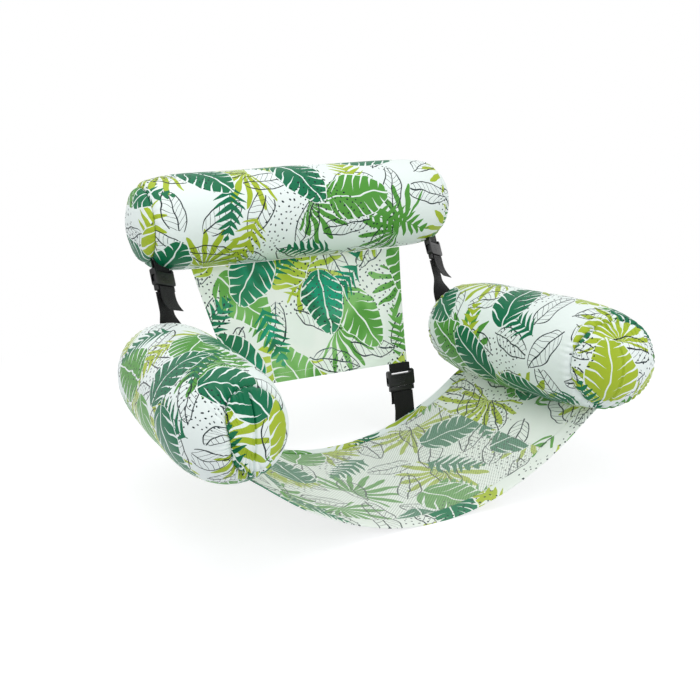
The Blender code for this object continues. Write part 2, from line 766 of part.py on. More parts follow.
def plug(name, mouth, face, look, matrix):
    """The buckle's plug: two prongs in the socket, and a base with a bar for the webbing's loop.

    The tail lies in front of the bar when face is 1 and behind it when face is -1."""
    rail = WEBBING_WIDTH / 2 + BUCKLE_SIDE_GAP
    half_width = BASE_WIDTH / 2
    top = mouth + FIT_GAP
    foot = top + BASE_LENGTH
    ends = sorted((face * BASE_BACK, -face * BASE_FRONT))
    made = box_object(name, (-half_width, ends[0], -foot), (half_width, ends[1], -top), look, matrix)
    plate = BASE_BACK - BASE_BACK_PLATE
    slot = sorted((face * plate, face * (PLUG_LAYER_OFFSET - WEBBING_THICKNESS / 2 - FIT_GAP)))
    low = (-rail, slot[0], -(foot + FIT_GAP))
    high = (rail, slot[1], -(top - FIT_GAP))
    boolean(made, box_object("cut", low, high, look, matrix), "DIFFERENCE")
    recess = sorted((face * plate, -face * SOCKET_THICKNESS))
    low = (-rail, recess[0], -(top + BASE_RECESS))
    high = (rail, recess[1], -(top - FIT_GAP))
    boolean(made, box_object("cut", low, high, look, matrix), "DIFFERENCE")
    prong_out = SOCKET_WIDTH / 2 - SOCKET_SIDE_WALL - FIT_GAP
    prong_half = SOCKET_THICKNESS / 2 - SOCKET_FACE_WALL - FIT_GAP
    reach = sorted((face * prong_half, -face * min(prong_half, BASE_FRONT)))
    for side in (-1, 1):
        near, far = sorted((side * (prong_out - PRONG_WIDTH), side * prong_out))
        low = (near, reach[0], -(top + BASE_RECESS))
        high = (far, reach[1], -(top - PRONG_LENGTH))
        boolean(made, box_object("prong", low, high, look, matrix), "UNION")
    return made


def loop_path(bar_top, rise_above):
    """The upper webbing: down, round the socket's bar and up again."""
    layer = BAR_HEIGHT / 2 + FIT_GAP + WEBBING_THICKNESS / 2
    bend = half_turn(layer, -layer, bar_top + BAR_HEIGHT / 2, layer, LOOP_STEPS)
    return [(layer, -rise_above)] + bend + [(-layer, -rise_above)]


def plug_path(bar_level, foot, face, lap, tail_length, flare):
    """The webbing through the plug: up its back, over its bar, and down again as the free tail."""
    inner = face * PLUG_LAYER_OFFSET
    lapped = face * (anchor_layer() - WEBBING_THICKNESS - FIT_GAP)
    tail = -face * (BASE_FRONT + FIT_GAP + WEBBING_THICKNESS / 2)
    path = [(lapped, foot + lap), (lapped, foot + LAP_BEND), (inner, foot)]
    path += half_turn(inner, tail, bar_level, -(2 * FIT_GAP + WEBBING_THICKNESS / 2), LOOP_STEPS)
    for step in range(TAIL_STEPS + 1):
        share = step / TAIL_STEPS
        down = bar_level + TAIL_STRAIGHT + (tail_length - TAIL_STRAIGHT) * share
        path.append((tail - face * flare * share ** 2, down))
    return path


def twisted_run(layer, foot, length, overrun, turn):
    """The sewn-on webbing: straight behind the plug, then twisting flat to where it is sewn."""
    start = foot + TWIST_START
    path = [(layer, foot + LAP_START)]
    turns = [0]
    for step in range(TWIST_STEPS + 1):
        share = step / TWIST_STEPS
        path.append((layer, start + (length - start) * share))
        turns.append(-turn * smooth(share))
    return path + [(layer, length + overrun)], turns + [-turn]


def strap(prefix, names, place, ends, face, bar_top, rise_above, lap, tail_length, flare, flap, turn):
    """One strap: webbing, buckle socket, plug, the plug's webbing and the sewn-on webbing."""
    webbing = material("black_webbing", BLACK_WEBBING, 0.8)
    plastic = material("black_plastic", BLACK_PLASTIC, 0.4)
    start, end = ends
    matrix = strap_frame(place, start, end, turn)
    top = ribbon(prefix + names[0], loop_path(bar_top, rise_above), webbing, matrix)
    socket(prefix + "_buckle_socket", bar_top, plastic, matrix)
    mouth = socket_body_top(bar_top) + SOCKET_LENGTH
    plug(prefix + "_buckle_plug", mouth, face, plastic, matrix)
    bar_level = mouth + FIT_GAP + BASE_RECESS
    foot = mouth + FIT_GAP + BASE_LENGTH
    path = plug_path(bar_level, foot, face, lap, tail_length, flare)
    ribbon(prefix + "_buckle_webbing", path, webbing, matrix)
    layer = face * anchor_layer()
    length = (end - start).length
    if turn:
        run, turns = twisted_run(layer, foot, length, flap[1], turn)
    else:
        run = [(layer, foot + LAP_START), (layer, length), (layer + flap[0], length + flap[1])]
        turns = None
    anchored = ribbon(prefix + names[1], run, webbing, matrix, turns)
    return top, anchored


def tube_solid(name, tube, grow):
    """The tube as one solid, grown by a clearance, for trimming what is sewn to it."""
    look = material("printed_fabric", FABRIC, 0.45)
    build = bmesh.new()
    caps = cap_shares(tube)
    shares = [-share for share in reversed(caps)] + body_shares(tube) + caps
    rings = [tube_ring(tube, share, TUBE_SIDES, -grow, -grow) for share in shares]
    rings.insert(0, round_ring(tube, -1, VALVE_SEAT_RADIUS, TUBE_SIDES, -grow))
    rings.append(round_ring(tube, 1, VALVE_SEAT_RADIUS, TUBE_SIDES, -grow))
    rows = [[build.verts.new(point) for point in ring] for ring in rings]
    for lower, upper in zip(rows, rows[1:]):
        for step in range(TUBE_SIDES):
            after = (step + 1) % TUBE_SIDES
            build.faces.new((lower[step], lower[after], upper[after], upper[step]))
    build.faces.new(rows[0])
    build.faces.new(rows[-1])
    return add_object(name, build, look, tube["matrix"])


def straps():
    """Two upper straps, trimmed to the tubes they are sewn to, and two lower straps."""
    for side, word in ((-1, "left"), (1, "right")):
        top, anchored = strap(
            "upper_strap_" + word, ("_headrest_webbing", "_arm_webbing"), side * UPPER_STRAP_X,
            upper_strap_ends(), 1, upper_bar_top(), UPPER_OVERRUN, UPPER_LAP, UPPER_TAIL, UPPER_FLARE,
            (0, UPPER_OVERRUN), UPPER_STRAP_TURN,
        )
        boolean(top, tube_solid("trim", headrest_tube(), FIT_GAP), "DIFFERENCE")
        boolean(anchored, tube_solid("trim", arm_tube(side), FIT_GAP), "DIFFERENCE")
        ends = lower_strap_ends()
        strap(
            "lower_strap_" + word, ("_panel_webbing", "_hem_webbing"), side * LOWER_STRAP_X,
            ends, -1, LOWER_BAR_TOP, -WEBBING_LIFT, LOWER_LAP, LOWER_TAIL, LOWER_FLARE, lower_flap(ends),
            0,
        )


def headrest():
    tube = headrest_tube()
    printed = material("printed_fabric", FABRIC, 0.45)
    cover("headrest_cover", tube, printed)
    cap("headrest_end_cap_left", tube, -1, False, printed)
    cap("headrest_end_cap_right", tube, 1, True, printed)
    chamber("headrest_air_chamber", tube, 1, material("chamber_film", FILM, 0.2))
    valve("headrest", tube, 1, material("valve_plastic", VALVE_WHITE, 0.35))


def arms():
    printed = material("printed_fabric", FABRIC, 0.45)
    for side, word in ((-1, "left"), (1, "right")):
        tube = arm_tube(side)
        prefix = "armrest_" + word
        cover(prefix + "_cover", tube, printed)
        cap(prefix + "_front_cap", tube, 1, False, printed)
        cap(prefix + "_rear_cap", tube, -1, True, printed)
        chamber(prefix + "_air_chamber", tube, -1, material("chamber_film", FILM, 0.2))
        valve(prefix, tube, -1, material("valve_plastic", VALVE_WHITE, 0.35))


def main():
    for old in list(bpy.data.objects):
        bpy.data.objects.remove(old, do_unlink=True)
    headrest()
    arms()
    seat()
    back_panel()
    straps()


main()
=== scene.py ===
"""Inflatable pool chair: printed fabric tubes over air chambers, a slung mesh seat, a thin back
panel and four buckled webbing straps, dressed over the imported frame.

Metres. +Z is up, -Y is the front of the chair and +X is on the right as seen from the front."""

from math import atan2, cos, pi, radians, sin, sqrt, tan

import bmesh
import bpy
import numpy as np
from mathutils import Matrix, Vector


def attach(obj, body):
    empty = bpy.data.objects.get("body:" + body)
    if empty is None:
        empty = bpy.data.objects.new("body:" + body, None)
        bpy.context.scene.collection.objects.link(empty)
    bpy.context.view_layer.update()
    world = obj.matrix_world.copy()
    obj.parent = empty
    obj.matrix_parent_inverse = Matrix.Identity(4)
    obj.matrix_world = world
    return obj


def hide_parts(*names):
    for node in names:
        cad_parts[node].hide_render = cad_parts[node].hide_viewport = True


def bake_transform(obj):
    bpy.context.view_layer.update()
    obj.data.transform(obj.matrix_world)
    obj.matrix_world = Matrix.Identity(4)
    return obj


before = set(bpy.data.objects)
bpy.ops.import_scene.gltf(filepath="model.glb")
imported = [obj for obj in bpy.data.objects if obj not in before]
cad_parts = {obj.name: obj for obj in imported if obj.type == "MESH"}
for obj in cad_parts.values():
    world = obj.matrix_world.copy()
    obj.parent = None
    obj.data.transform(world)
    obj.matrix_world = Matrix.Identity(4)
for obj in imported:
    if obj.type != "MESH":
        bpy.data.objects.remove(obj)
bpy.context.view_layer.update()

bl_info = {
    "name": "Inflatable pool chair",
    "version": (1, 0, 0),
    "blender": (4, 5, 0),
    "location": "3D View > Sidebar > Pool chair",
    "description": "Makes a pool chair's printed tubes, slung seat, back panel, straps and valves",
    "category": "Object",
}

# Tubes, as in the frame
COVER_WALL = 0.0012
CHAMBER_WALL = 0.0008
FIT_GAP = 0.0003
SEAM_GAP = 0.0004
HEADREST_LENGTH = 0.609
HEADREST_RADIUS = 0.081
HEADREST_Y = 0.231
HEADREST_Z = 0.402
HEADREST_CROWN = 12
HEADREST_SEAM_SHARE = 0.92
ARM_LENGTH = 0.493
ARM_RADIUS = 0.0875
ARM_X = 0.308
ARM_Y = -0.073
ARM_Z = 0.197
ARM_SPLAY = radians(4.8)
ARM_RISE = radians(4.0)
ARM_CROWN = 5
ARM_SEAM_SHARE = 0.82
SKEW_START_SHARE = 0.1
# How the front seam sits on the left and right arm: its place, then its lean on the outer side,
# on the inner side and downward
ARM_FRONT_SEAMS = {
    -1: (0.90, radians(44), radians(13), radians(-8)),
    1: (0.82, radians(20), radians(20), 0.0),
}
# Steps of the search for where a leaning cut meets the tube, and how far each one goes
LEAN_STEPS = 80
LEAN_STRIDE = 0.2
# Where round each tube the two edges of its printed cloth meet, out of sight
HEADREST_WRAP = radians(215)
ARM_WRAP = radians(255)

# Rings and steps of the tubes' skins
AROUND = 240
BODY_RINGS = 56
END_RINGS = 90
# How strongly the rings crowd towards the gathered seams
BODY_CROWDING = 2.1
END_CROWDING = 1.15
# The share of an end's radius that its closed tip covers
BLIND_SHARE = 0.03
CHAMBER_AROUND = 64
CHAMBER_RINGS = 41
CHAMBER_END_RINGS = 16
# The share of the radius at which an air chamber's end rings start
CHAMBER_END_SHARE = 0.80
CHAMBER_SLACK = 0.0008
# The solid that trims the webbing: its end rings' first and last share of the radius and their
# count, its other rings, its steps round and how far it lies inside the tube
TRIM_END_RINGS = (0.05, 0.9, 14)
TRIM_RINGS = 30
TRIM_AROUND = 96
TRIM_INSET = 0.0005

# Gathers where each tube's end is sewn in: their count, depth and reach from the seam
PUCKERS = 37
PUCKER_DEPTH = 0.0042
PUCKER_REACH = 0.0125
# Waves round a gathered seam: each a height, a count of turns and a share of the seed
GATHER_WANDER = ((1.1, 3, 1), (0.8, 5, -2.1), (0.5, 9, 1.7))
GATHER_STRENGTH = ((0.22, 4, 1.3), (0.18, 11, -1))
# The seam lies in a groove, and the cloth beside it swells
SEAM_GROOVE = 0.0032
SEAM_GROOVE_REACH = 0.0022
SWELL = 0.0020
SWELL_AT = 0.011
SWELL_REACH = 0.009
# Soft dents, and how near a seam they fade out on a body and on an end
SOFT_DENT = 0.0006
DENT_FADE = 0.03
CAP_DENT_FADE = 0.02
CREASE_HALF_WIDTH = 0.0015
CREASE_START = 0.008
# Each arm's stitched fold across its front end: its place and its height
CREASES = {-1: (-0.010, 0.0034), 1: (-0.030, 0.0015)}
# How strongly each tube's end seams are gathered, from its left side to its right
HEADREST_GATHER = (0.45, 0.45)
ARM_GATHER = {-1: (0.10, 2.2), 1: (1.9, 2.4)}

# Faces that meet at less than this angle are shaded as one, on cloth and on moulded pieces
SMOOTH_ANGLE = radians(40)
EDGE_ANGLE = radians(30)

# Valves
VALVE_STEM_RADIUS = 0.006
VALVE_BORE_RADIUS = 0.0042
VALVE_FLANGE_RADIUS = 0.010
VALVE_FLANGE_THICKNESS = 0.0008
VALVE_STEM_HEIGHT = 0.006
VALVE_ROOM = 0.0012
PLUG_HEAD_RADIUS = 0.0075
PLUG_HEAD_THICKNESS = 0.002
PLUG_SHANK_LENGTH = 0.005
PLUG_SHANK_OVERLAP = 0.0010
# The dish in the plug's head: each step an inset and a rise
PLUG_DISH = ((0.0012, -0.0006), (0.0024, 0.0), (0.0010, 0.0004))
TURNED_SIDES = 48
VALVE_EDGE = 0.00025
PLUG_EDGE = 0.0003

# Seat
SEAT_FRONT_Y = -0.255
SEAT_REAR_Y = 0.091
SEAT_BORDER_WIDTH = 0.032
SEAT_HEM_WIDTH = 0.018
SEAT_SHEET = 0.0012
SEAT_HEM_SHEET = 0.0024
SEAT_SEAM_TURN = radians(15)
SEAT_LEAN_SHARE = 0.65
SEAT_FLAT_SHARE = 0.066
SEAT_MESH_SHARE = 0.74
# How far apart, as shares of the half width, the seat's points are
SEAT_PITCH = 0.010
# Ripples where the seat is drawn to the arms, and where across it they start and fade out
SEAT_RIPPLE = 0.0016
SEAT_RIPPLE_PITCH = 0.043
SEAT_RIPPLE_START = 0.55
SEAT_RIPPLE_END = 0.94
# Where across the seat its slow ripples start and are full
SEAT_SLOW_RIPPLE = (0.0875, 0.3375)
SEAT_SEED = 1.3

# Back panel
PANEL_SEAM_TURN = radians(15)
PANEL_TOP_HALF_WIDTH = 0.205
PANEL_FOOT_HALF_WIDTH = 0.168
PANEL_FOOT_Y = 0.115
PANEL_FOOT_Z = 0.130
PANEL_SHEET = 0.0012
PANEL_SEAM_GAP = 0.0006
PANEL_HEM_WIDTH = 0.015
PANEL_HEM_SHEET = 0.0024
PANEL_FOLDS = 4
PANEL_FOLD_DEPTH = 0.0022
PANEL_CREASE_DEPTH = 0.0009
PANEL_GATHER_DEPTH = 0.0007
PANEL_GATHER_START = 0.04
PANEL_COLUMNS = 121
PANEL_SEED = 0.7
# How far apart a cloth's rows are on a large piece, on the panel's hem and on the seat's borders,
# and how wide a large piece is at least
CLOTH_PITCH = 0.0045
HEM_PITCH = 0.0018
BORDER_PITCH = 0.002
NARROW = 0.05

# Webbing and buckles
WEBBING_WIDTH = 0.040
WEBBING_THICKNESS = 0.0012
WEBBING_LIFT = 0.0005
WEBBING_PITCH = 0.003
WEBBING_COLUMNS = 25
WEBBING_EDGE = 0.00035
BAR_HEIGHT = 0.003
LOOP_STEPS = 16
TURN_SQUARE_SHARE = 0.7
LOOP_WINDOW = 0.004
BUCKLE_SIDE_GAP = 0.0006
SOCKET_WIDTH = 0.054
SOCKET_LENGTH = 0.022
SOCKET_THICKNESS = 0.011
SOCKET_SIDE_WALL = 0.0027
SOCKET_FACE_WALL = 0.002
SOCKET_DEPTH = 0.020
WINDOW_LENGTH = 0.012
WINDOW_START = 0.004
PRONG_WIDTH = 0.0035
PRONG_LENGTH = 0.0178
BASE_WIDTH = 0.050
BASE_LENGTH = 0.0087
BASE_BACK = 0.0045
BASE_BACK_PLATE = 0.0016
BASE_FRONT = 0.003
BASE_RECESS = 0.0027
PLUG_LAYER_OFFSET = 0.002
BUCKLE_CORNER = 0.0042
BAR_END_INSET = 0.0012
# Grip ridges on both faces of the socket, each one narrower than the one above it
RIDGES = 4
RIDGE_PITCH = 0.0034
RIDGE_START = 0.0052
RIDGE_HEIGHT = 0.00045
RIDGE_HALF_LENGTH = 0.0006
RIDGE_HALF_WIDTH = 0.011
RIDGE_TAPER = 0.0018
# Radii on the edges of the socket's cavity and windows, its ridges and the plug's prongs
CAVITY_EDGE = 0.0006
WINDOW_EDGE = 0.0009
RIDGE_EDGE = 0.0004
PRONG_EDGE = 0.0007
# Distances below a plug at which its webbing starts, bends and leaves the straight, and the steps
# of its free tail
LAP_START = 0.001
LAP_BEND = 0.005
TAIL_STRAIGHT = 0.014
TAIL_STEPS = 14
UPPER_STRAP_X = 0.265
UPPER_SEAM_TURN = radians(30)
UPPER_STRAP_TURN = radians(38)
UPPER_SOCKET_GAP = 0.001
UPPER_LAP = 0.010
UPPER_TAIL = 0.043
UPPER_FLARE = 0.010
UPPER_OVERRUN = 0.025
ANCHOR_INSET = 0.0274
TWIST_START = 0.033
SIDES = ((-1, "left"), (1, "right"))
LOWER_STRAP_X = 0.152
LOWER_BAR_TOP = 0.013
LOWER_LAP = 0.010
LOWER_TAIL = 0.030
LOWER_FLARE = 0.002


def linear(hex_colour):
    """An sRGB hex colour as linear red, green, blue and full opacity."""
    channels = [int(hex_colour[place:place + 2], 16) / 255 for place in (0, 2, 4)]
    return [c / 12.92 if c <= 0.04045 else ((c + 0.055) / 1.055) ** 2.4 for c in channels] + [1.0]


def colour_property(name, description, hex_colour):
    return bpy.props.FloatVectorProperty(
        name=name, description=description, subtype="COLOR", size=4, min=0, max=1,
        default=linear(hex_colour),
    )


def length_property(name, description, default):
    return bpy.props.FloatProperty(
        name=name, description=description, default=default, unit="LENGTH",
    )


class PoolChairSizes(bpy.types.PropertyGroup):
    leaf_length: length_property("Leaf length", "Length of the large printed leaves", 0.118)
    frond_length: length_property("Frond length", "Length of the printed palm fronds", 0.135)
    pucker_depth: length_property(
        "Pucker depth", "How deep the gathers at the tube ends are", PUCKER_DEPTH)
    mesh_pitch: length_property("Mesh pitch", "Distance between the seat mesh's holes", 0.0040)
    rib_pitch: length_property(
        "Webbing rib pitch", "Distance between the webbing's woven ribs", 0.0016)
    edge_round: length_property("Buckle edge round", "Radius on the buckles' moulded edges", 0.0011)


class PoolChairColours(bpy.types.PropertyGroup):
    ground: colour_property("Ground", "White ground of the print", "EFF8F5")
    dark_leaf: colour_property("Dark leaf", "Deep green leaves", "006E49")
    mid_leaf: colour_property("Middle leaf", "Grass green leaves", "52993A")
    lime_leaf: colour_property("Lime leaf", "Yellow green leaves", "A9BF2E")
    drawn_line: colour_property("Drawn line", "Thin lines and dots of the print", "13262B")
    # Painted light: a green cast over the panel's print that stands in for light coming through the
    # thin cloth
    panel_light_tint: colour_property("Panel tint", "Green light through the thin panel", "F9FFF4")
    seat_tint: colour_property("Seat tint", "Warmer white of the seat's cloth", "FFFDF9")
    webbing: colour_property("Webbing", "Black webbing", "0A0A0D")
    buckle: colour_property("Buckle", "Black moulded buckles", "101013")
    valve: colour_property("Valve", "Clear white valves", "E6EBEC")
    film: colour_property("Film", "Air chamber film", "DCE6EA")
    floor: colour_property("Floor", "Plain studio floor, as the lamps light it", "A6A7A9")
    floor_bounce: colour_property("Floor bounce", "The floor's light on the chair", "D8D8DC")
    sky: colour_property("Studio light", "Soft light from all round", "F3F5F5")


# Shapes shared with the frame

def frame_matrix(x_axis, y_axis, z_axis, origin):
    """A placement from three unit axes and an origin."""
    columns = Matrix((x_axis, y_axis, z_axis)).transposed().to_4x4()
    return Matrix.Translation(origin) @ columns


def crown(share, power):
    """The tube's radius, as a share of its full radius, at a share of its half length."""
    return np.sqrt(np.maximum(0.0, 1 - np.abs(share) ** power))


def ramp(value, start, end):
    """0 before the start, 1 after the end, and even between them."""
    return np.clip((value - start) / (end - start), 0, 1)


def eased(share):
    """A ramp that starts and ends softly."""
    return share * share * (3 - 2 * share)


def headrest_tube():
    matrix = frame_matrix((0, -1, 0), (0, 0, -1), (1, 0, 0), (0, HEADREST_Y, HEADREST_Z))
    return {"half": HEADREST_LENGTH / 2, "radius": HEADREST_RADIUS, "crown": HEADREST_CROWN,
            "seam": HEADREST_SEAM_SHARE, "front": HEADREST_SEAM_SHARE, "lean": (0.0, 0.0, 0.0),
            "turn": -1, "matrix": matrix, "wrap": HEADREST_WRAP, "crease": None,
            "gather": HEADREST_GATHER}


def arm_tube(side):
    forward = Vector((side * sin(ARM_SPLAY) * cos(ARM_RISE), -cos(ARM_SPLAY) * cos(ARM_RISE),
                      sin(ARM_RISE)))
    outward = Vector((side * cos(ARM_SPLAY), sin(ARM_SPLAY), 0))
    matrix = frame_matrix(outward, forward.cross(outward), forward, (side * ARM_X, ARM_Y, ARM_Z))
    half = ARM_LENGTH / 2
    front, *angles = ARM_FRONT_SEAMS[side]
    lean = [tan(angle) * ARM_RADIUS / half for angle in angles]
    return {"half": half, "radius": ARM_RADIUS, "crown": ARM_CROWN, "seam": ARM_SEAM_SHARE,
            "front": front, "lean": lean, "turn": side, "matrix": matrix, "wrap": ARM_WRAP,
            "crease": CREASES[side], "gather": ARM_GATHER[side]}


def upright(tube):
    """The same tube with no lean in its rings."""
    return dict(tube, lean=(0.0, 0.0, 0.0))


def lean_share(tube, share):
    """How much of the front seam's lean the ring at this share has."""
    body = eased(ramp(share, SKEW_START_SHARE, tube["front"]))
    return np.where(share <= tube["front"], body, (1 - share) / (1 - tube["front"]))


def tube_points(tube, share, angle, inset=0.0):
    """Points on the tube's own surface, in its frame, where flat leaning cuts meet it."""
    outer, inner, down = tube["lean"]
    side = ((1 + np.cos(angle)) / 2) ** 2
    level = inner + (outer - inner) * side
    pull = lean_share(tube, share) * (level * np.cos(angle) + down * np.sin(angle))
    along = share + np.minimum(0.0, pull)
    if any(tube["lean"]):
        for _ in range(LEAN_STEPS):
            aim = np.clip(share + pull * crown(along, tube["crown"]), -1, 1)
            along = along + LEAN_STRIDE * (aim - along)
    reach = (tube["radius"] - inset) * crown(along, tube["crown"])
    half = tube["half"] - inset
    across = reach * np.cos(angle)
    return np.stack([across, tube["turn"] * reach * np.sin(angle), along * half], axis=-1)


def placed(points, matrix):
    """Points moved from a frame of their own into the scene."""
    turn = np.array(matrix.to_3x3())
    return points @ turn.T + np.array(matrix.translation)


def arm_seam_line():
    """The line along the right arm's underside where the seat is sewn on, from rear to front."""
    tube = arm_tube(1)
    shares = np.linspace(-tube["seam"], tube["seam"], 120)
    return placed(tube_points(tube, shares, 1.5 * pi - SEAT_SEAM_TURN), tube["matrix"])


SEAM_LINE = arm_seam_line()


def seat_edge(y_value, sheet):
    """Half width and height of the seat's underside at its seam with the right arm."""
    line = SEAM_LINE[::-1]
    away = FIT_GAP + SEAT_LEAN_SHARE * sheet
    edge_x = np.interp(y_value, line[:, 1], line[:, 0]) - away * sin(SEAT_SEAM_TURN)
    edge_z = np.interp(y_value, line[:, 1], line[:, 2]) - away * cos(SEAT_SEAM_TURN)
    return edge_x, edge_z


def panel_line():
    """Top and foot of the back panel's middle line."""
    drop = Vector((0, sin(PANEL_SEAM_TURN), cos(PANEL_SEAM_TURN)))
    top = Vector((0, HEADREST_Y, HEADREST_Z)) - HEADREST_RADIUS * drop
    foot = Vector((0, PANEL_FOOT_Y, PANEL_FOOT_Z))
    return top + (foot - top).normalized() * PANEL_SEAM_GAP, foot


def strap_frame(x_value, start, end, turn):
    """A strap's frame at its upper seam, its own Z up the strap, turned about the strap's line."""
    up = (start - end).normalized()
    origin = Vector((x_value, start.y, start.z))
    placing = frame_matrix((1, 0, 0), up.cross(Vector((1, 0, 0))), up, origin)
    return placing @ Matrix.Rotation(turn, 4, "Z")


def anchor_layer():
    return BASE_BACK + FIT_GAP + WEBBING_THICKNESS / 2


def strap_end(start, anchor, offset):
    """The strap's lower end, placed so that a layer this far behind the strap meets the anchor."""
    span = anchor - start
    length = sqrt(span.length_squared - offset ** 2)
    return start + Matrix.Rotation(-atan2(offset, length), 3, "X") @ span.normalized() * length


def headrest_radius(x_value):
    return HEADREST_RADIUS * float(crown(2 * x_value / HEADREST_LENGTH, HEADREST_CROWN))


def upper_strap_ends():
    """From the headrest's surface at the strap's middle to the top of the arm's rear end."""
    tube = arm_tube(1)
    share = 1 - ANCHOR_INSET / tube["half"]
    axis = tube["matrix"] @ Vector((0, 0, -share * tube["half"]))
    radius = ARM_RADIUS * float(crown(share, ARM_CROWN))
    anchor = Vector((0, axis.y, axis.z + sqrt(radius ** 2 - (axis.x - UPPER_STRAP_X) ** 2)))
    radius = headrest_radius(UPPER_STRAP_X)
    drop = Vector((0, radius * sin(UPPER_SEAM_TURN), radius * cos(UPPER_SEAM_TURN)))
    start = Vector((0, HEADREST_Y, HEADREST_Z)) - drop
    return start, strap_end(start, anchor, anchor_layer())


def upper_bar_top():
    inner = headrest_radius(UPPER_STRAP_X - SOCKET_WIDTH / 2)
    return inner - headrest_radius(UPPER_STRAP_X) + UPPER_SOCKET_GAP


def hem_height(x_value):
    """Height of the rear hem's underside at this distance from the middle."""
    edge_x, edge_z = seat_edge(SEAT_REAR_Y, SEAT_HEM_SHEET)
    flat = SEAT_FLAT_SHARE ** 2
    return float(edge_z) * ((x_value / float(edge_x)) ** 2 - flat) / (1 - flat)


def lower_strap_ends():
    """From the back panel's foot to just above the hem at the webbing's outer edge."""
    foot = panel_line()[1]
    height = hem_height(LOWER_STRAP_X + WEBBING_WIDTH / 2) + 2 * SEAT_HEM_SHEET
    rear = SEAT_REAR_Y + FIT_GAP + WEBBING_THICKNESS / 2
    return foot, strap_end(foot, Vector((0, rear, height)), -anchor_layer())


def lower_flap(ends):
    """The last stretch, straight down behind the hem's rear edge, in the strap's frame."""
    up = (ends[0] - ends[1]).normalized()
    top = hem_height(LOWER_STRAP_X + WEBBING_WIDTH / 2) + 2 * SEAT_HEM_SHEET
    drop = top - hem_height(LOWER_STRAP_X - WEBBING_WIDTH / 2)
    return drop * up.y, drop * up.z


STRAPS = {
    "upper": {"x": UPPER_STRAP_X, "ends": upper_strap_ends(), "face": 1, "bar_top": upper_bar_top(),
              "above": UPPER_OVERRUN, "lap": UPPER_LAP, "tail": UPPER_TAIL, "flare": UPPER_FLARE,
              "flap": (0, UPPER_OVERRUN), "names": ("_headrest_webbing", "_arm_webbing"),
              "turn": UPPER_STRAP_TURN},
    "lower": {"x": LOWER_STRAP_X, "ends": lower_strap_ends(), "face": -1, "bar_top": LOWER_BAR_TOP,
              "above": -WEBBING_LIFT, "lap": LOWER_LAP, "tail": LOWER_TAIL, "flare": LOWER_FLARE,
              "flap": lower_flap(lower_strap_ends()), "names": ("_panel_webbing", "_hem_webbing"),
              "turn": 0.0},
}


# Materials

def add(tree, kind, settings=(), links=()):
    """Add a node, set its properties, and give its inputs values or links."""
    made = tree.nodes.new("ShaderNode" + kind)
    for key, value in dict(settings).items():
        setattr(made, key, value)
    for key, value in dict(links).items():
        if isinstance(value, bpy.types.NodeSocket):
            tree.links.new(value, made.inputs[key])
        else:
            made.inputs[key].default_value = value
    return made


def reckon(tree, known, rows):
    """Work down rows of (name, operation, values), each a sum on named results before it."""
    for name, operation, *values in rows:
        links = {place: known.get(value, value) if isinstance(value, str) else value
                 for place, value in enumerate(values)}
        known[name] = add(tree, "Math", {"operation": operation, "label": name}, links).outputs[0]
    return known


def new_material(name):
    """An empty material and its tree, or None for the tree where it is already made."""
    made = bpy.data.materials.get(name)
    if made:
        return made, None
    made = bpy.data.materials.new(name)
    made.use_nodes = True
    made.node_tree.nodes.clear()
    return made, made.node_tree


COLOUR_MIX = {"data_type": "RGBA"}
FLAT_NOISE = {"noise_dimensions": "2D"}


# Bare cloth left round each notched leaf
HALO_WIDTH = 0.0018
# How far behind its cell's middle a fan's leaflets meet, as a share of its length
FAN_SET_BACK = 0.38
# How far motifs stray from an even grid
LEAF_SCATTER = 0.3
DASH_RADIUS = 0.0014
# The real yarns are near 0.2 mm, drawn coarser so that they show
WEAVE_PITCH = 0.0012
WEAVE_DEPTH = 0.00015
THREAD_PITCH = 0.0011
# How much a moulded piece's roughness varies over it
GLOSS_SPREAD = 0.18

# Half the leaf's width along its length, widest near the stalk
OVATE = (
    ("t", "MULTIPLY_ADD", "x", "per_length", 0.5),
    ("left", "SUBTRACT", 1.0, "t"),
    ("hump", "MULTIPLY", "t", "left"),
    ("hump", "MAXIMUM", "hump", 0.0),
    ("hump", "POWER", "hump", 0.58),
    ("taper", "MULTIPLY_ADD", "t", -1.0, 2.55),
    ("width", "MULTIPLY", "hump", "taper"),
    ("width", "MULTIPLY", "width", "half_width"),
    ("off", "ABSOLUTE", "y"),
    ("inside", "LESS_THAN", "off", "width"),
    ("safe", "MAXIMUM", "width", 0.0001),
    ("depth", "DIVIDE", "off", "safe"),
    ("slant", "MULTIPLY_ADD", "off", -0.75, "x"),
    ("turns", "MULTIPLY", "slant", "per_vein"),
    ("phase", "FRACT", "turns"),
)
# Notches that open from the midrib to the margin
NOTCHED = OVATE + (
    ("gape", "MULTIPLY_ADD", "depth", -0.36, 1.09),
    ("cut", "GREATER_THAN", "phase", "gape"),
    ("whole", "SUBTRACT", 1.0, "cut"),
    ("mask", "MULTIPLY", "inside", "whole"),
    ("rib", "LESS_THAN", "off", "line"),
    ("no_rib", "SUBTRACT", 1.0, "rib"),
    ("mask", "MULTIPLY", "mask", "no_rib"),
    ("brim", "ADD", "width", "halo_width"),
    ("halo", "LESS_THAN", "off", "brim"),
    ("within", "COMPARE", "t", 0.5, 0.515),
    ("halo", "MULTIPLY", "halo", "within"),
)
# Narrow leaflets on both sides of a thin stem
FROND = OVATE + (
    ("centred", "SUBTRACT", "phase", 0.5),
    ("centred", "ABSOLUTE", "centred"),
    ("squared", "MULTIPLY", "depth", "depth"),
    ("plump", "MULTIPLY_ADD", "squared", -0.36, 0.37),
    ("leaflet", "LESS_THAN", "centred", "plump"),
    ("mask", "MULTIPLY", "inside", "leaflet"),
    ("stem", "LESS_THAN", "off", "line"),
    ("reach", "COMPARE", "t", 0.5, 0.52),
    ("stem", "MULTIPLY", "stem", "reach"),
    ("mask", "MAXIMUM", "mask", "stem"),
)
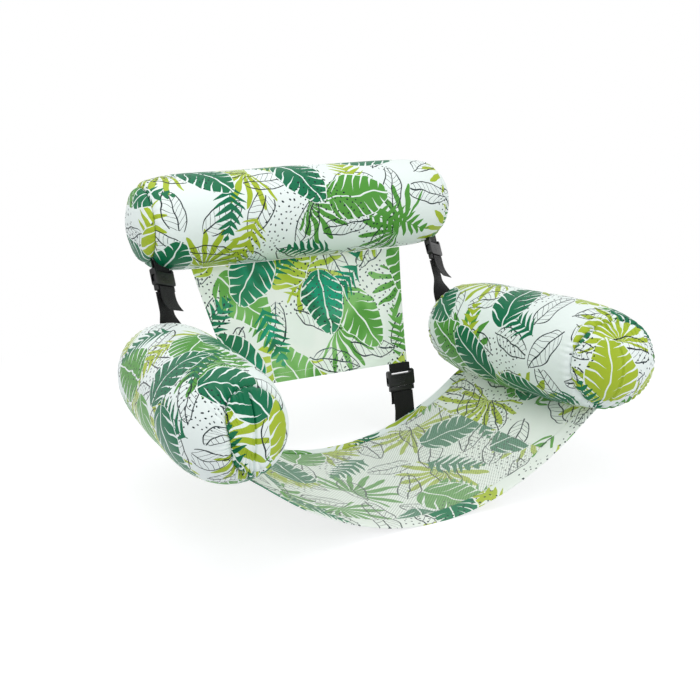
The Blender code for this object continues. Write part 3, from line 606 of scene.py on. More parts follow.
# A leaf drawn in thin outline with its veins
DRAWN = OVATE + (
    ("margin", "SUBTRACT", "off", "width"),
    ("margin", "ABSOLUTE", "margin"),
    ("margin", "LESS_THAN", "margin", "line"),
    ("centred", "SUBTRACT", "phase", 0.5),
    ("centred", "ABSOLUTE", "centred"),
    ("vein", "LESS_THAN", "centred", 0.045),
    ("vein", "MULTIPLY", "vein", "inside"),
    ("stem", "LESS_THAN", "off", "line"),
    ("reach", "COMPARE", "t", 0.5, 0.56),
    ("within", "COMPARE", "t", 0.5, 0.5),
    ("margin", "MULTIPLY", "margin", "within"),
    ("stem", "MULTIPLY", "stem", "reach"),
    ("mask", "MAXIMUM", "margin", "vein"),
    ("mask", "MAXIMUM", "mask", "stem"),
)
# Leaflets spread like a hand from one point
FAN = (
    ("x", "ADD", "x", "set_back"),
    ("angle", "ARCTAN2", "y", "x"),
    ("far", "POWER", "x", 2.0),
    ("side", "POWER", "y", 2.0),
    ("far", "ADD", "far", "side"),
    ("far", "SQRT", "far"),
    ("turns", "MULTIPLY", "angle", 2.55),
    ("turns", "ADD", "turns", 0.5),
    ("phase", "FRACT", "turns"),
    ("centred", "SUBTRACT", "phase", 0.5),
    ("centred", "ABSOLUTE", "centred"),
    ("share", "MULTIPLY", "far", "per_length"),
    ("bulge", "SUBTRACT", 1.0, "share"),
    ("bulge", "MAXIMUM", "bulge", 0.0),
    ("bulge", "POWER", "bulge", 0.55),
    ("bulge", "MULTIPLY", "bulge", 0.46),
    ("leaflet", "LESS_THAN", "centred", "bulge"),
    ("open", "ABSOLUTE", "angle"),
    ("open", "LESS_THAN", "open", 1.95),
    ("mask", "MULTIPLY", "leaflet", "open"),
)


def scattered(tree, place, cell, turn, shift, scatter):
    """Cells with a place, a turn and random values of their own, for one motif in each."""
    moved = add(tree, "Mapping", {"vector_type": "POINT"}, {
        "Vector": place, "Rotation": (0, 0, turn), "Location": (shift, 1.7 * shift, 0)}).outputs[0]
    cells = add(tree, "TexVoronoi", {"voronoi_dimensions": "2D", "feature": "F1"}, {
        "Vector": moved, "Scale": 1 / cell, "Randomness": scatter})
    local = add(tree, "VectorMath", {"operation": "SUBTRACT"}, {
        0: moved, 1: cells.outputs["Position"]})
    chance = add(tree, "SeparateColor", (), {"Color": cells.outputs["Color"]}).outputs
    known = {"red": chance["Red"], "green": chance["Green"], "blue": chance["Blue"]}
    reckon(tree, known, (("turned", "MULTIPLY", "red", 2 * pi),))
    turned = add(tree, "VectorRotate", {"rotation_type": "Z_AXIS"}, {
        "Vector": local.outputs[0], "Angle": known["turned"]})
    split = add(tree, "SeparateXYZ", (), {"Vector": turned.outputs[0]})
    known.update({"x": split.outputs["X"], "y": split.outputs["Y"]})
    return known


def motif_layer(tree, place, rows, spread, drawing):
    """The mask of one motif scattered over the cloth, and its cells' random values.

    Spread is the cells' size, turn and shift and the share of them that show the motif. Drawing is
    its length, half width, vein pitch and line width."""
    cell, turn, shift, shown = spread
    length, half_width, vein, line = drawing
    known = scattered(tree, place, cell, turn, shift, LEAF_SCATTER)
    known.update({"per_length": 1 / length, "half_width": half_width, "per_vein": 1 / vein,
                  "line": line, "set_back": length * FAN_SET_BACK, "halo_width": HALO_WIDTH})
    reckon(tree, known, rows)
    return reckon(tree, known, (
        ("kept", "LESS_THAN", "green", shown), ("mask", "MULTIPLY", "mask", "kept")))


def leaf_print(colours, sizes):
    """The printed pattern as a group: flat coordinates in metres go in, colour comes out."""
    group = bpy.data.node_groups.get("tropical_leaf_print")
    if group:
        return group
    group = bpy.data.node_groups.new("tropical_leaf_print", "ShaderNodeTree")
    group.interface.new_socket("Vector", in_out="INPUT", socket_type="NodeSocketVector")
    group.interface.new_socket("Color", in_out="OUTPUT", socket_type="NodeSocketColor")
    start = group.nodes.new("NodeGroupInput")
    finish = group.nodes.new("NodeGroupOutput")
    # The drawing wanders a little, so that no leaf has ruled edges
    drift = add(group, "TexNoise", FLAT_NOISE, {
        "Vector": start.outputs[0], "Scale": 28.0, "Detail": 1.0, "Roughness": 0.4})
    drift = add(group, "VectorMath", {"operation": "SUBTRACT"}, {
        0: drift.outputs["Color"], 1: (0.5, 0.5, 0.5)})
    place = add(group, "VectorMath", {"operation": "MULTIPLY_ADD"}, {
        0: drift.outputs[0], 1: (0.013, 0.013, 0.013), 2: start.outputs[0]}).outputs[0]
    leaf, frond = sizes.leaf_length, sizes.frond_length
    # Each motif's spread and drawing, its two inks and the share of its cells in the first
    layers = (
        (FAN, (0.150, 0.35, 0.21, 0.85), (frond * 0.62, 0.05, 0.012, 0.0006),
         colours.lime_leaf, colours.mid_leaf, 0.80),
        (DRAWN, (0.080, 0.2, 0.67, 0.95), (leaf * 0.74, 0.021, 0.0105, 0.0011),
         colours.drawn_line, colours.drawn_line, 0.5),
        (FROND, (0.135, 0.9, 0.43, 0.62), (frond, 0.034, 0.0150, 0.0009),
         colours.lime_leaf, colours.mid_leaf, 0.60),
        (NOTCHED, (0.150, 0.6, 0.11, 0.66), (leaf * 1.05, 0.045, 0.0190, 0.0013),
         colours.mid_leaf, colours.lime_leaf, 0.62),
        (FROND, (0.118, 1.3, 0.77, 0.42), (leaf * 0.92, 0.030, 0.0140, 0.0009),
         colours.dark_leaf, colours.dark_leaf, 0.75),
        (NOTCHED, (0.142, 1.1, 0.92, 0.62), (leaf, 0.043, 0.0180, 0.0013),
         colours.dark_leaf, colours.dark_leaf, 0.5),
    )
    colour = add(group, "RGB").outputs[0]
    colour.default_value = colours.ground
    for rows, spread, drawing, first, second, share in layers:
        found = motif_layer(group, place, rows, spread, drawing)
        reckon(group, found, (("pick", "GREATER_THAN", "blue", share),))
        ink = add(group, "Mix", COLOUR_MIX, {
            "Factor": found["pick"], 6: first, 7: second}).outputs[2]
        if rows is not DRAWN:
            # Ink a little lighter towards one end of each leaf
            reckon(group, found, (
                ("fade", "MULTIPLY_ADD", "x", 1.4, 0.0), ("fade", "MAXIMUM", "fade", 0.0)))
            ink = add(group, "Mix", COLOUR_MIX, {
                "Factor": found["fade"], 6: ink, 7: colours.mid_leaf}).outputs[2]
        if rows is NOTCHED:
            reckon(group, found, (("halo", "MULTIPLY", "halo", "kept"),))
            colour = add(group, "Mix", COLOUR_MIX, {
                "Factor": found["halo"], 6: colour, 7: colours.ground}).outputs[2]
        colour = add(group, "Mix", COLOUR_MIX, {
            "Factor": found["mask"], 6: colour, 7: ink}).outputs[2]
    # Patches of small dashes
    patch = add(group, "TexNoise", FLAT_NOISE, {"Vector": place, "Scale": 9.0, "Detail": 0.0})
    found = scattered(group, place, 0.0105, 0.5, 0.3, 0.45)
    found["patch"] = patch.outputs["Fac"]
    reckon(group, found, (
        ("wide", "MULTIPLY", "x", 0.75), ("wide", "POWER", "wide", 2.0),
        ("tall", "POWER", "y", 2.0), ("off", "ADD", "wide", "tall"),
        ("dash", "LESS_THAN", "off", DASH_RADIUS ** 2),
        ("here", "GREATER_THAN", "patch", 0.60), ("mask", "MULTIPLY", "dash", "here"),
    ))
    colour = add(group, "Mix", COLOUR_MIX, {
        "Factor": found["mask"], 6: colour, 7: colours.drawn_line}).outputs[2]
    group.links.new(colour, finish.inputs[0])
    return group


def finish_material(tree, shader):
    out = tree.nodes.new("ShaderNodeOutputMaterial")
    tree.links.new(shader.outputs[0], out.inputs[0])


def cloth_bump(tree, flat, rumple_depth):
    """Fine weave and slow rumples, as one bump."""
    rumple = add(tree, "TexNoise", FLAT_NOISE, {
        "Vector": flat, "Scale": 22.0, "Detail": 2.0, "Roughness": 0.45, "Distortion": 0.6})
    first = add(tree, "Bump", (), {
        "Strength": 0.7, "Distance": rumple_depth, "Height": rumple.outputs["Fac"]})
    checks = add(tree, "TexChecker", (), {"Vector": flat, "Scale": 1 / WEAVE_PITCH})
    return add(tree, "Bump", (), {
        "Strength": 0.25, "Distance": WEAVE_DEPTH, "Height": checks.outputs["Fac"],
        "Normal": first.outputs[0]}).outputs[0]


# The holes' radius, as a share of their pitch, and how much cloth shows in them
HOLE_SHARE = 0.30
HOLE_COVER = 0.58


def printed_cloth(name, colours, sizes, roughness, rumple_depth, tint=None, wash=0.0, glow=0.0,
                  ink_and_light_gamma=1.0, painted_light_patches=0.0, holes=False):
    """Printed woven polyester. Wash pales the print and tint warms it; on the thin panel the tint
    is painted green light coming through the cloth. Glow lets light through it by subsurface
    scattering;
    the ink gamma pales the print, which on the thin panel is painted light coming through it, and
    the patches paint that light stronger in soft clouds. Holes make it a mesh."""
    made, tree = new_material(name)
    if tree is None:
        return made
    flat = add(tree, "UVMap", {"uv_map": "cut"}).outputs[0]
    print_group = tree.nodes.new("ShaderNodeGroup")
    print_group.node_tree = leaf_print(colours, sizes)
    tree.links.new(flat, print_group.inputs[0])
    pale = add(tree, "Mix", COLOUR_MIX, {
        "Factor": wash, 6: print_group.outputs[0], 7: colours.ground}).outputs[2]
    if painted_light_patches:
        # Painted light: the print is paled further in soft cloudy patches, standing in for light
        # coming through the thin cloth
        cloud = add(tree, "TexNoise", FLAT_NOISE, {
            "Vector": flat, "Scale": 13.0, "Detail": 1.5, "Roughness": 0.4, "Distortion": 0.9})
        ink_and_light_gamma = reckon(tree, {"lit": cloud.outputs["Fac"]}, (
            ("lit", "MULTIPLY_ADD", "lit", 4.0, -1.6), ("lit", "MAXIMUM", "lit", 0.0),
            ("lit", "MINIMUM", "lit", 1.0), ("ink_and_light_gamma", "MULTIPLY_ADD", "lit", -painted_light_patches, ink_and_light_gamma),
        ))["ink_and_light_gamma"]
    # The gamma pales the print; on the thin panel this is painted light coming through the cloth
    if ink_and_light_gamma != 1.0:
        pale = add(tree, "Gamma", (), {"Color": pale, "Gamma": ink_and_light_gamma}).outputs[0]
    if tint:
        pale = add(tree, "Mix", {"data_type": "RGBA", "blend_type": "MULTIPLY"}, {
            "Factor": 1.0, 6: pale, 7: tint}).outputs[2]
    shader = add(tree, "BsdfPrincipled", (), {
        "Base Color": pale, "Roughness": roughness, "Normal": cloth_bump(tree, flat, rumple_depth),
        "Specular IOR Level": 0.22, "Subsurface Weight": glow, "Subsurface Radius": (1, 1, 1),
        "Subsurface Scale": 0.003})
    if holes:
        turned = add(tree, "Mapping", (), {
            "Vector": flat, "Rotation": (0, 0, pi / 4),
            "Scale": (1 / sizes.mesh_pitch, 1 / sizes.mesh_pitch, 1)})
        split = add(tree, "SeparateXYZ", (), {"Vector": turned.outputs[0]})
        known = reckon(tree, {"u": split.outputs["X"], "v": split.outputs["Y"]}, (
            ("u", "FRACT", "u"), ("u", "SUBTRACT", "u", 0.5), ("u", "POWER", "u", 2.0),
            ("v", "FRACT", "v"), ("v", "SUBTRACT", "v", 0.5), ("v", "POWER", "v", 2.0),
            ("off", "ADD", "u", "v"), ("solid", "GREATER_THAN", "off", HOLE_SHARE ** 2),
            ("alpha", "MULTIPLY_ADD", "solid", 1 - HOLE_COVER, HOLE_COVER),
        ))
        tree.links.new(known["alpha"], shader.inputs["Alpha"])
    finish_material(tree, shader)
    return made


def tube_cloth(colours, sizes):
    # Coated polyester taffeta, tight over the air chamber: smooth with a soft satin shine
    return printed_cloth("coated_polyester_taffeta", colours, sizes, 0.42, 0.0012)


def panel_cloth(colours, sizes):
    # Thin uncoated taffeta: finely rumpled, with light coming through it in patches. The glow is
    # subsurface light; the green tint, the paler inks and their cloudy patches are painted light
    # coming through the cloth
    return printed_cloth("thin_polyester_taffeta", colours, sizes, 0.38, 0.0040,
                         tint=colours.panel_light_tint, glow=0.5, ink_and_light_gamma=0.92, painted_light_patches=0.36)


def seat_cloth(colours, sizes):
    # Plain woven polyester of the seat's sides and border: matt, printed a little paler
    return printed_cloth("woven_polyester", colours, sizes, 0.55, 0.0012,
                         tint=colours.seat_tint, wash=0.04, ink_and_light_gamma=0.85)


def mesh_cloth(colours, sizes):
    # Knitted polyester mesh, matt and washed out by its holes. The real holes are about 1.2 mm at
    # 2 mm, drawn coarser so that they show
    return printed_cloth("knitted_polyester_mesh", colours, sizes, 0.7, 0.0010,
                         tint=colours.seat_tint, wash=0.15, ink_and_light_gamma=0.8, holes=True)


def webbing_material(colours, sizes):
    # Woven polypropylene webbing: matt black ribs across with fine threads along
    made, tree = new_material("woven_polypropylene_webbing")
    if tree is None:
        return made
    flat = add(tree, "UVMap", {"uv_map": "cut"}).outputs[0]
    split = add(tree, "SeparateXYZ", (), {"Vector": flat})
    known = reckon(tree, {"u": split.outputs["X"], "v": split.outputs["Y"]}, (
        ("row", "MULTIPLY", "v", 1 / sizes.rib_pitch), ("row", "MULTIPLY", "row", 2 * pi),
        ("thread", "MULTIPLY", "u", 2 * pi / THREAD_PITCH), ("thread", "SINE", "thread"),
        ("row", "MULTIPLY_ADD", "thread", 0.9, "row"), ("rib", "SINE", "row"),
        ("rib", "MULTIPLY_ADD", "rib", 0.5, 0.5),
        ("thread", "MULTIPLY_ADD", "thread", 0.25, 0.25),
        ("height", "ADD", "rib", "thread"), ("shade", "MULTIPLY", "rib", 0.35),
    ))
    # Painted highlight: the ribs' crests are coloured lighter than the hollows between them, as if
    # they caught the light
    lighter = [min(1.0, 2.0 * channel) for channel in colours.webbing[:3]] + [1.0]
    tone = add(tree, "Mix", COLOUR_MIX, {
        "Factor": known["shade"], 6: colours.webbing, 7: lighter})
    bump = add(tree, "Bump", (), {
        "Strength": 0.8, "Distance": 0.0004, "Height": known["height"]})
    shader = add(tree, "BsdfPrincipled", (), {
        "Base Color": tone.outputs[2], "Roughness": 0.62, "Normal": bump.outputs[0],
        "Sheen Weight": 0.06, "Sheen Roughness": 0.35, "Specular IOR Level": 0.3})
    finish_material(tree, shader)
    return made


def moulded_material(name, colour, roughness, ior, grain, depth):
    """A moulded plastic: even colour, with a fine mould texture in its gloss and surface."""
    made, tree = new_material(name)
    if tree is None:
        return made
    place = add(tree, "TexCoord").outputs["Object"]
    fine = add(tree, "TexNoise", (), {"Vector": place, "Scale": 1 / grain, "Detail": 2.0})
    broad = add(tree, "TexNoise", (), {"Vector": place, "Scale": 70.0, "Detail": 2.0})
    known = reckon(tree, {"fine": fine.outputs["Fac"], "broad": broad.outputs["Fac"]}, (
        ("rough", "MULTIPLY_ADD", "broad", GLOSS_SPREAD, roughness - GLOSS_SPREAD / 2),
    ))
    deeper = [0.8 * channel for channel in colour[:3]] + [1.0]
    tone = add(tree, "Mix", COLOUR_MIX, {"Factor": known["broad"], 6: deeper, 7: colour})
    bump = add(tree, "Bump", (), {"Strength": 0.35, "Distance": depth, "Height": known["fine"]})
    shader = add(tree, "BsdfPrincipled", (), {
        "Base Color": tone.outputs[2], "Roughness": known["rough"], "Normal": bump.outputs[0],
        "IOR": ior})
    finish_material(tree, shader)
    return made


def buckle_material(colours):
    # Injection moulded acetal, black: low satin gloss with a fine spark-eroded grain
    return moulded_material("moulded_acetal", colours.buckle, 0.36, 1.48, 0.0009, 0.00006)


def valve_material(colours):
    # Soft moulded PVC, cloudy white
    return moulded_material("moulded_soft_pvc", colours.valve, 0.3, 1.53, 0.002, 0.00005)


def film_material(colours):
    # Welded PVC film of the air chambers, cloudy and glossy
    return moulded_material("welded_pvc_film", colours.film, 0.2, 1.53, 0.004, 0.0002)


# Meshes

def linked(name, data):
    """A new object in the scene for this mesh, lamp or camera."""
    made = bpy.data.objects.new(name, data)
    bpy.context.scene.collection.objects.link(made)
    return made


def deselect():
    if bpy.context.object and bpy.context.object.mode != "OBJECT":
        bpy.ops.object.mode_set(mode="OBJECT")
    bpy.ops.object.select_all(action="DESELECT")


def only(piece):
    """Select this piece alone and make it the active one."""
    deselect()
    piece.select_set(True)
    bpy.context.view_layer.objects.active = piece


def apply_modifier(piece, kind, **settings):
    only(piece)
    modifier = piece.modifiers.new(kind.lower(), kind)
    for key, value in settings.items():
        setattr(modifier, key, value)
    bpy.ops.object.modifier_apply(modifier=modifier.name)


def round_edges(piece, width, segments):
    """Round a shape's sharp edges."""
    apply_modifier(piece, "BEVEL", width=width, segments=segments, limit_method="ANGLE",
                   angle_limit=radians(50))


def face_outward(piece):
    """Point a closed shape's faces out."""
    build = bmesh.new()
    build.from_mesh(piece.data)
    bmesh.ops.recalc_face_normals(build, faces=build.faces)
    build.to_mesh(piece.data)
    build.free()


def smooth_by_angle(piece, angle):
    only(piece)
    bpy.ops.object.shade_smooth_by_angle(angle=angle)


def grid_object(name, points, flat, look, wrap=False, tip=None, tip_flat=None):
    """A sheet through rows of points. Flat holds each point's place on the cut cloth, in metres."""
    rows, columns = points.shape[:2]
    vertices = [tuple(point) for point in points.reshape(-1, 3)]
    faces = []
    places = []
    last = columns if wrap else columns - 1
    for row in range(rows - 1):
        first, second = row * columns, (row + 1) * columns
        for column in range(last):
            after = (column + 1) % columns
            faces.append((first + column, first + after, second + after, second + column))
            places += [flat[row, column], flat[row, column + 1], flat[row + 1, column + 1],
                       flat[row + 1, column]]
    if tip is not None:
        vertices.append(tuple(tip))
        first = (rows - 1) * columns
        for column in range(last):
            faces.append((first + column, first + (column + 1) % columns, rows * columns))
            places += [flat[-1, column], flat[-1, column + 1], tip_flat]
    mesh = bpy.data.meshes.new(name)
    mesh.from_pydata(vertices, [], faces)
    mesh.uv_layers.new(name="cut").data.foreach_set("uv", np.array(places, float).ravel())
    mesh.materials.append(look)
    mesh.validate()
    return linked(name, mesh)


def paired(first, second):
    """Two sets of values spread over one grid, as pairs."""
    return np.stack(np.broadcast_arrays(first, second), axis=-1)


def ring(count, start=0.0):
    """Angles all the way round, as one row."""
    return start + np.linspace(0, 2 * pi, count, endpoint=False)[None, :]


def surface_normals(points):
    """A unit normal at each point of a grid that closes on itself."""
    across = np.roll(points, -1, axis=1) - np.roll(points, 1, axis=1)
    down = np.gradient(points, axis=0)
    normal = np.cross(down, across)
    return normal / np.maximum(1e-12, np.linalg.norm(normal, axis=-1, keepdims=True))


def arc_lengths(points):
    """Distance along the middle of a grid, row by row, from its first row."""
    steps = np.linalg.norm(np.diff(points, axis=0), axis=-1).mean(axis=1)
    return np.concatenate([[0.0], np.cumsum(steps)])


def column_lengths(points):
    """Distance down each column of a grid from its first row."""
    steps = np.linalg.norm(np.diff(points, axis=0), axis=-1)
    return np.concatenate([np.zeros((1, points.shape[1])), np.cumsum(steps, axis=0)])


def closed_columns(values):
    """A grid's values with its first column repeated at the end."""
    return np.concatenate([values, values[:, :1]], axis=1)


def waves(angle, seed, rows):
    """A sum of sine waves round a seam."""
    return sum(height * np.sin(turns * angle + share * seed) for height, turns, share in rows)


def pucker(distance, angle, seed, depth, ends):
    """How far the cloth stands out or in near a gathered seam. Ends weights the top and bottom."""
    pinch = 1 - np.abs(np.sin(PUCKERS / 2 * angle + waves(angle, seed, GATHER_WANDER))) ** 0.6
    bias = ends * np.abs(np.sin(angle)) ** 6
    strength = 0.6 + waves(angle, seed, GATHER_STRENGTH) + 0.5 * bias
    reach = PUCKER_REACH * (0.75 + 0.55 * np.sin(7 * angle + seed) ** 2 + 1.2 * bias)
    gathers = depth * strength * pinch * np.exp(-(distance / reach) ** 1.3)
    groove = SEAM_GROOVE * np.exp(-distance / SEAM_GROOVE_REACH)
    swell = SWELL * np.exp(-((distance - SWELL_AT) / SWELL_REACH) ** 2)
    return swell - gathers - groove


def gathered(tube, across, depth):
    """The depth of the gathers at each place, from the tube's left side to its right."""
    left, right = tube["gather"]
    share = 0.5 + 0.5 * np.clip(across / tube["radius"], -1, 1)
    return depth * (left + (right - left) * share)


def soft_dents(along, around, seed):
    """Slow hollows of cloth drawn over air, along and around in metres, about 0.1 to 0.3 m wide."""
    first = np.sin(31 * along + 12 * around + seed) * np.sin(19 * around - 9 * along + 2 * seed)
    second = np.sin(57 * around + 2.3 * np.sin(23 * along + seed) + seed)
    return SOFT_DENT * (first + 0.45 * second)


def body_rows(tube):
    """Ring places from seam to seam, close together near the gathers."""
    steps = 1 - (1 - np.linspace(0, 1, BODY_RINGS)) ** BODY_CROWDING
    return np.concatenate([-tube["seam"] * steps[:0:-1], tube["front"] * steps])[:, None]


def oriented(points, inside):
    """Normals that point away from the given inside points."""
    normal = surface_normals(points)
    middle = points.shape[0] // 2
    outward = ((points[middle] - inside) * normal[middle]).sum()
    return normal if outward > 0 else -normal


def wall(piece, thickness, offset=0.0, even=False):
    """Give a sheet its thickness and turn its faces out."""
    apply_modifier(piece, "SOLIDIFY", thickness=thickness, offset=offset, use_even_offset=even,
                   use_rim=True)
    face_outward(piece)


def inward_wall(piece, inside, thickness):
    """Thicken a tube's skin inward, whichever way its faces were wound."""
    face = piece.data.polygons[len(piece.data.polygons) // 2]
    if (face.center - Vector(inside)).dot(face.normal) < 0:
        piece.data.flip_normals()
    wall(piece, thickness, -1.0)


def tube_body(name, tube, seed, look, flat_start, depth):
    """The tube's printed cloth between its end seams, gathered where the ends are sewn in."""
    angles = ring(AROUND, tube["wrap"])
    base = tube_points(tube, body_rows(tube), angles)
    along = column_lengths(base)
    distance = np.minimum(along, along[-1:] - along)
    along = along - along[len(along) // 2]
    creased = 0.0 if tube["crease"] is None else 1.0
    depths = gathered(tube, base[..., 0], depth)
    amount = pucker(distance, angles, seed, depths, creased * (along > 0))
    dents = soft_dents(along, angles * tube["radius"], seed)
    amount = amount + ramp(distance, 0, DENT_FADE) * dents
    inside = base[len(base) // 2].mean(axis=0)
    points = placed(base + amount[..., None] * oriented(base, inside), tube["matrix"])
    turns = np.linspace(0, 2 * pi, AROUND + 1) * tube["radius"]
    flat = paired(closed_columns(along), turns[None, :]) + np.array(flat_start)
    piece = grid_object(name, points, flat, look, wrap=True)
    inward_wall(piece, tube["matrix"].translation, COVER_WALL)
    return piece


def stitched_fold(tube, base, distance):
    """A fold sewn across an arm's front end: a low ridge with a groove beside it."""
    place, height = tube["crease"]
    wander = 0.002 * np.sin(base[..., 1] * 30)
    across = (base[..., 0] - place - wander) / CREASE_HALF_WIDTH
    line = np.exp(-(across - 0.8) ** 2) - 1.1 * np.exp(-(across + 0.8) ** 2)
    return height * line * ramp(distance, 0, CREASE_START)


def tube_end(name, tube, end, port, seed, look, flat_start, depth):
    """One sewn-in end of the tube, gathered at its rim, closed or open round a valve."""
    seam_share = tube["front" if end > 0 else "seam"] + SEAM_GAP / tube["half"]
    rim_radius = float(crown(seam_share, tube["crown"]))
    inner = port / tube["radius"] if port else BLIND_SHARE
    radii = rim_radius + (inner - rim_radius) * np.linspace(0, 1, END_RINGS) ** END_CROWDING
    shares = end * ((1 - radii ** 2) ** (1 / tube["crown"]))[:, None]
    angles = ring(AROUND, tube["wrap"])
    base = tube_points(tube, shares, angles)
    distance = column_lengths(base)
    left = distance[-1:] - distance
    creased = 1.0 if end > 0 and tube["crease"] is not None else 0.0
    amount = pucker(distance, angles, seed, gathered(tube, base[..., 0], depth), creased)
    dents = soft_dents(base[..., 0], base[..., 1], seed)
    amount = amount * ramp(left, 0, CAP_DENT_FADE / 2)
    amount = amount + ramp(left, 0, CAP_DENT_FADE) * ramp(distance, 0, CAP_DENT_FADE) * dents
    if creased:
        amount = amount + stitched_fold(tube, base, distance)
    points = placed(base + amount[..., None] * oriented(base, np.zeros(3)), tube["matrix"])
    turns = angles[0, 0] + np.linspace(0, 2 * pi, AROUND + 1)[None, :]
    reach = closed_columns(left + inner * tube["radius"])
    middle = np.array(flat_start)
    flat = np.stack([reach * np.cos(turns), end * reach * np.sin(turns)], axis=-1) + middle
    if port:
        piece = grid_object(name, points, flat, look, wrap=True)
    else:
        tip = placed(np.array([0.0, 0.0, end * tube["half"]]), tube["matrix"])
        tip = (points[-1].mean(axis=0) + tip) / 2
        piece = grid_object(name, points, flat, look, wrap=True, tip=tip, tip_flat=middle)
    inward_wall(piece, tube["matrix"].translation, COVER_WALL)
    return piece


def chamber_inset():
    return COVER_WALL + VALVE_ROOM + VALVE_FLANGE_THICKNESS + 2 * FIT_GAP


def air_chamber(name, tube, valve_end, look):
    """The welded film bladder that fills the cover, open at its valve."""
    inset = chamber_inset() + CHAMBER_SLACK
    open_share = (VALVE_BORE_RADIUS + FIT_GAP) / tube["radius"]
    radii = [np.linspace(CHAMBER_END_SHARE, share, CHAMBER_END_RINGS)
             for share in (open_share, BLIND_SHARE)]
    ends, blind = [(1 - radius ** 2) ** (1 / tube["crown"]) for radius in radii]
    middle = np.linspace(-1, 1, CHAMBER_RINGS)[1:-1] * min(ends[0], blind[0])
    low, high = (blind, ends) if valve_end > 0 else (ends, blind)
    shares = np.concatenate([-low[::-1], middle, high])[:, None]
    base = tube_points(upright(tube), shares, ring(CHAMBER_AROUND), inset)
    if valve_end > 0:
        base = base[::-1]
    points = placed(base, tube["matrix"])
    turns = np.linspace(0, 2 * pi, CHAMBER_AROUND + 1) * tube["radius"]
    flat = paired(arc_lengths(base)[:, None], turns[None, :])
    tip = points[-1].mean(axis=0)
    piece = grid_object(name, points, flat, look, wrap=True, tip=tip, tip_flat=flat[-1, 0])
    inward_wall(piece, tube["matrix"].translation, CHAMBER_WALL)
    return piece


def dress(piece, body, nodes, angle=SMOOTH_ANGLE):
    """Smooth a finished piece, set it on its body and let it stand for its nodes of the frame."""
    smooth_by_angle(piece, angle)
    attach(piece, body)
    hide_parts(*nodes)
    return piece


class POOLCHAIR_OT_tubes(bpy.types.Operator):
    """Make the headrest and arm covers with their gathered ends and air chambers"""

    bl_idname = "poolchair.tubes"
    bl_label = "Tubes"

    def execute(self, context):
        colours = context.scene.pool_chair_colours
        sizes = context.scene.pool_chair_sizes
        cloth = tube_cloth(colours, sizes)
        film = film_material(colours)
        port = VALVE_STEM_RADIUS + FIT_GAP
        # Each tube's body, valve end, seed and place on the print, then its two ends: name, which
        # end, port and place on the print
        rows = (
            ("headrest", headrest_tube(), "backrest", 1, 0.9, (1.38, 0.17),
             (("_end_cap_left", -1, None, (2.40, 1.86)),
              ("_end_cap_right", 1, port, (2.90, 1.90)))),
            ("armrest_left", arm_tube(-1), "seat_and_arms", -1, 2.3, (0.66, 0.83),
             (("_front_cap", 1, None, (1.83, 1.69)),
              ("_rear_cap", -1, port, (0.20, 0.30)))),
            ("armrest_right", arm_tube(1), "seat_and_arms", -1, 4.1, (2.71, 0.32),
             (("_front_cap", 1, None, (2.35, 1.12)),
              ("_rear_cap", -1, port, (2.10, 0.30)))),
        )
        for prefix, tube, body, valve_end, seed, start, ends in rows:
            name = prefix + "_printed_cover"
            cover = tube_body(name, tube, seed, cloth, start, sizes.pucker_depth)
            dress(cover, body, [prefix + "_cover"])
            for word, end, hole, cap_start in ends:
                cap = tube_end(prefix + word + "_cloth", tube, end, hole, seed, cloth, cap_start,
                               sizes.pucker_depth)
                dress(cap, body, [prefix + word])
            chamber = air_chamber(prefix + "_air_chamber_film", tube, valve_end, film)
            dress(chamber, body, [prefix + "_air_chamber"])
        return {"FINISHED"}


# Seat

def seat_points(shares, ys, sheet):
    """The middle of the seat's cloth over a grid of shares across and places along."""
    share = shares[None, :]
    y_value = ys[:, None]
    edge_x, edge_z = seat_edge(y_value, sheet)
    away = np.abs(share)
    flat = SEAT_FLAT_SHARE ** 2
    height = edge_z * np.maximum(0.0, share ** 2 - flat) / (1 - flat)
    slope = 2 * edge_z * share / (edge_x * (1 - flat))
    lean = np.arctan(np.where(away <= SEAT_FLAT_SHARE, 0.0, slope))
    near = ramp(away, SEAT_RIPPLE_START, 1) ** 2 * (1 - ramp(away, SEAT_RIPPLE_END, 1))
    phase = 1.5 * np.sin(9 * share + SEAT_SEED) + SEAT_SEED
    drawn = 0.5 + 0.5 * np.sin(y_value * 2 * pi / SEAT_RIPPLE_PITCH + phase)
    slow = np.sin(11 * share + 23 * y_value + SEAT_SEED)
    slow = 0.4 * slow * np.sin(31 * y_value - 4 * share + 2 * SEAT_SEED)
    raised = SEAT_RIPPLE * (near * drawn + ramp(away, *SEAT_SLOW_RIPPLE) * slow)
    lift = np.maximum(sheet / 2, sheet / 2 + raised)
    spot = np.stack(np.broadcast_arrays(share * edge_x, y_value, height), axis=-1)
    side = np.stack([-np.sin(lean), np.zeros_like(lean), np.cos(lean)], axis=-1)
    return spot + lift[..., None] * side


def cut_places(points, start):
    """Flat places of a grid's points, measured along its rows and columns from its middle."""
    steps = np.linalg.norm(np.diff(points, axis=1), axis=-1)
    across = np.concatenate([np.zeros((points.shape[0], 1)), np.cumsum(steps, axis=1)], axis=1)
    across = across - across[:, points.shape[1] // 2][:, None]
    return paired(across, arc_lengths(points)[:, None]) + np.array(start)


def spaced(start, end, pitch):
    return np.linspace(start, end, max(2, int(round(abs(end - start) / pitch)) + 1))


def seat_piece(name, low, high, front, rear, sheet, look, start, puff):
    """One cut piece of the seat. Puff rounds it up along its middle, as a turned hem is."""
    pitch = CLOTH_PITCH if rear - front > NARROW else BORDER_PITCH
    points = seat_points(spaced(low, high, SEAT_PITCH), spaced(front, rear, pitch), sheet)
    piece = grid_object(name, points, cut_places(points, start), look)
    wall(piece, sheet)
    for vertex in piece.data.vertices:
        share = (vertex.co.y - front) / (rear - front)
        vertex.co.z += puff * (1 - min(1.0, abs(2 * share - 1)) ** 4)
    return piece


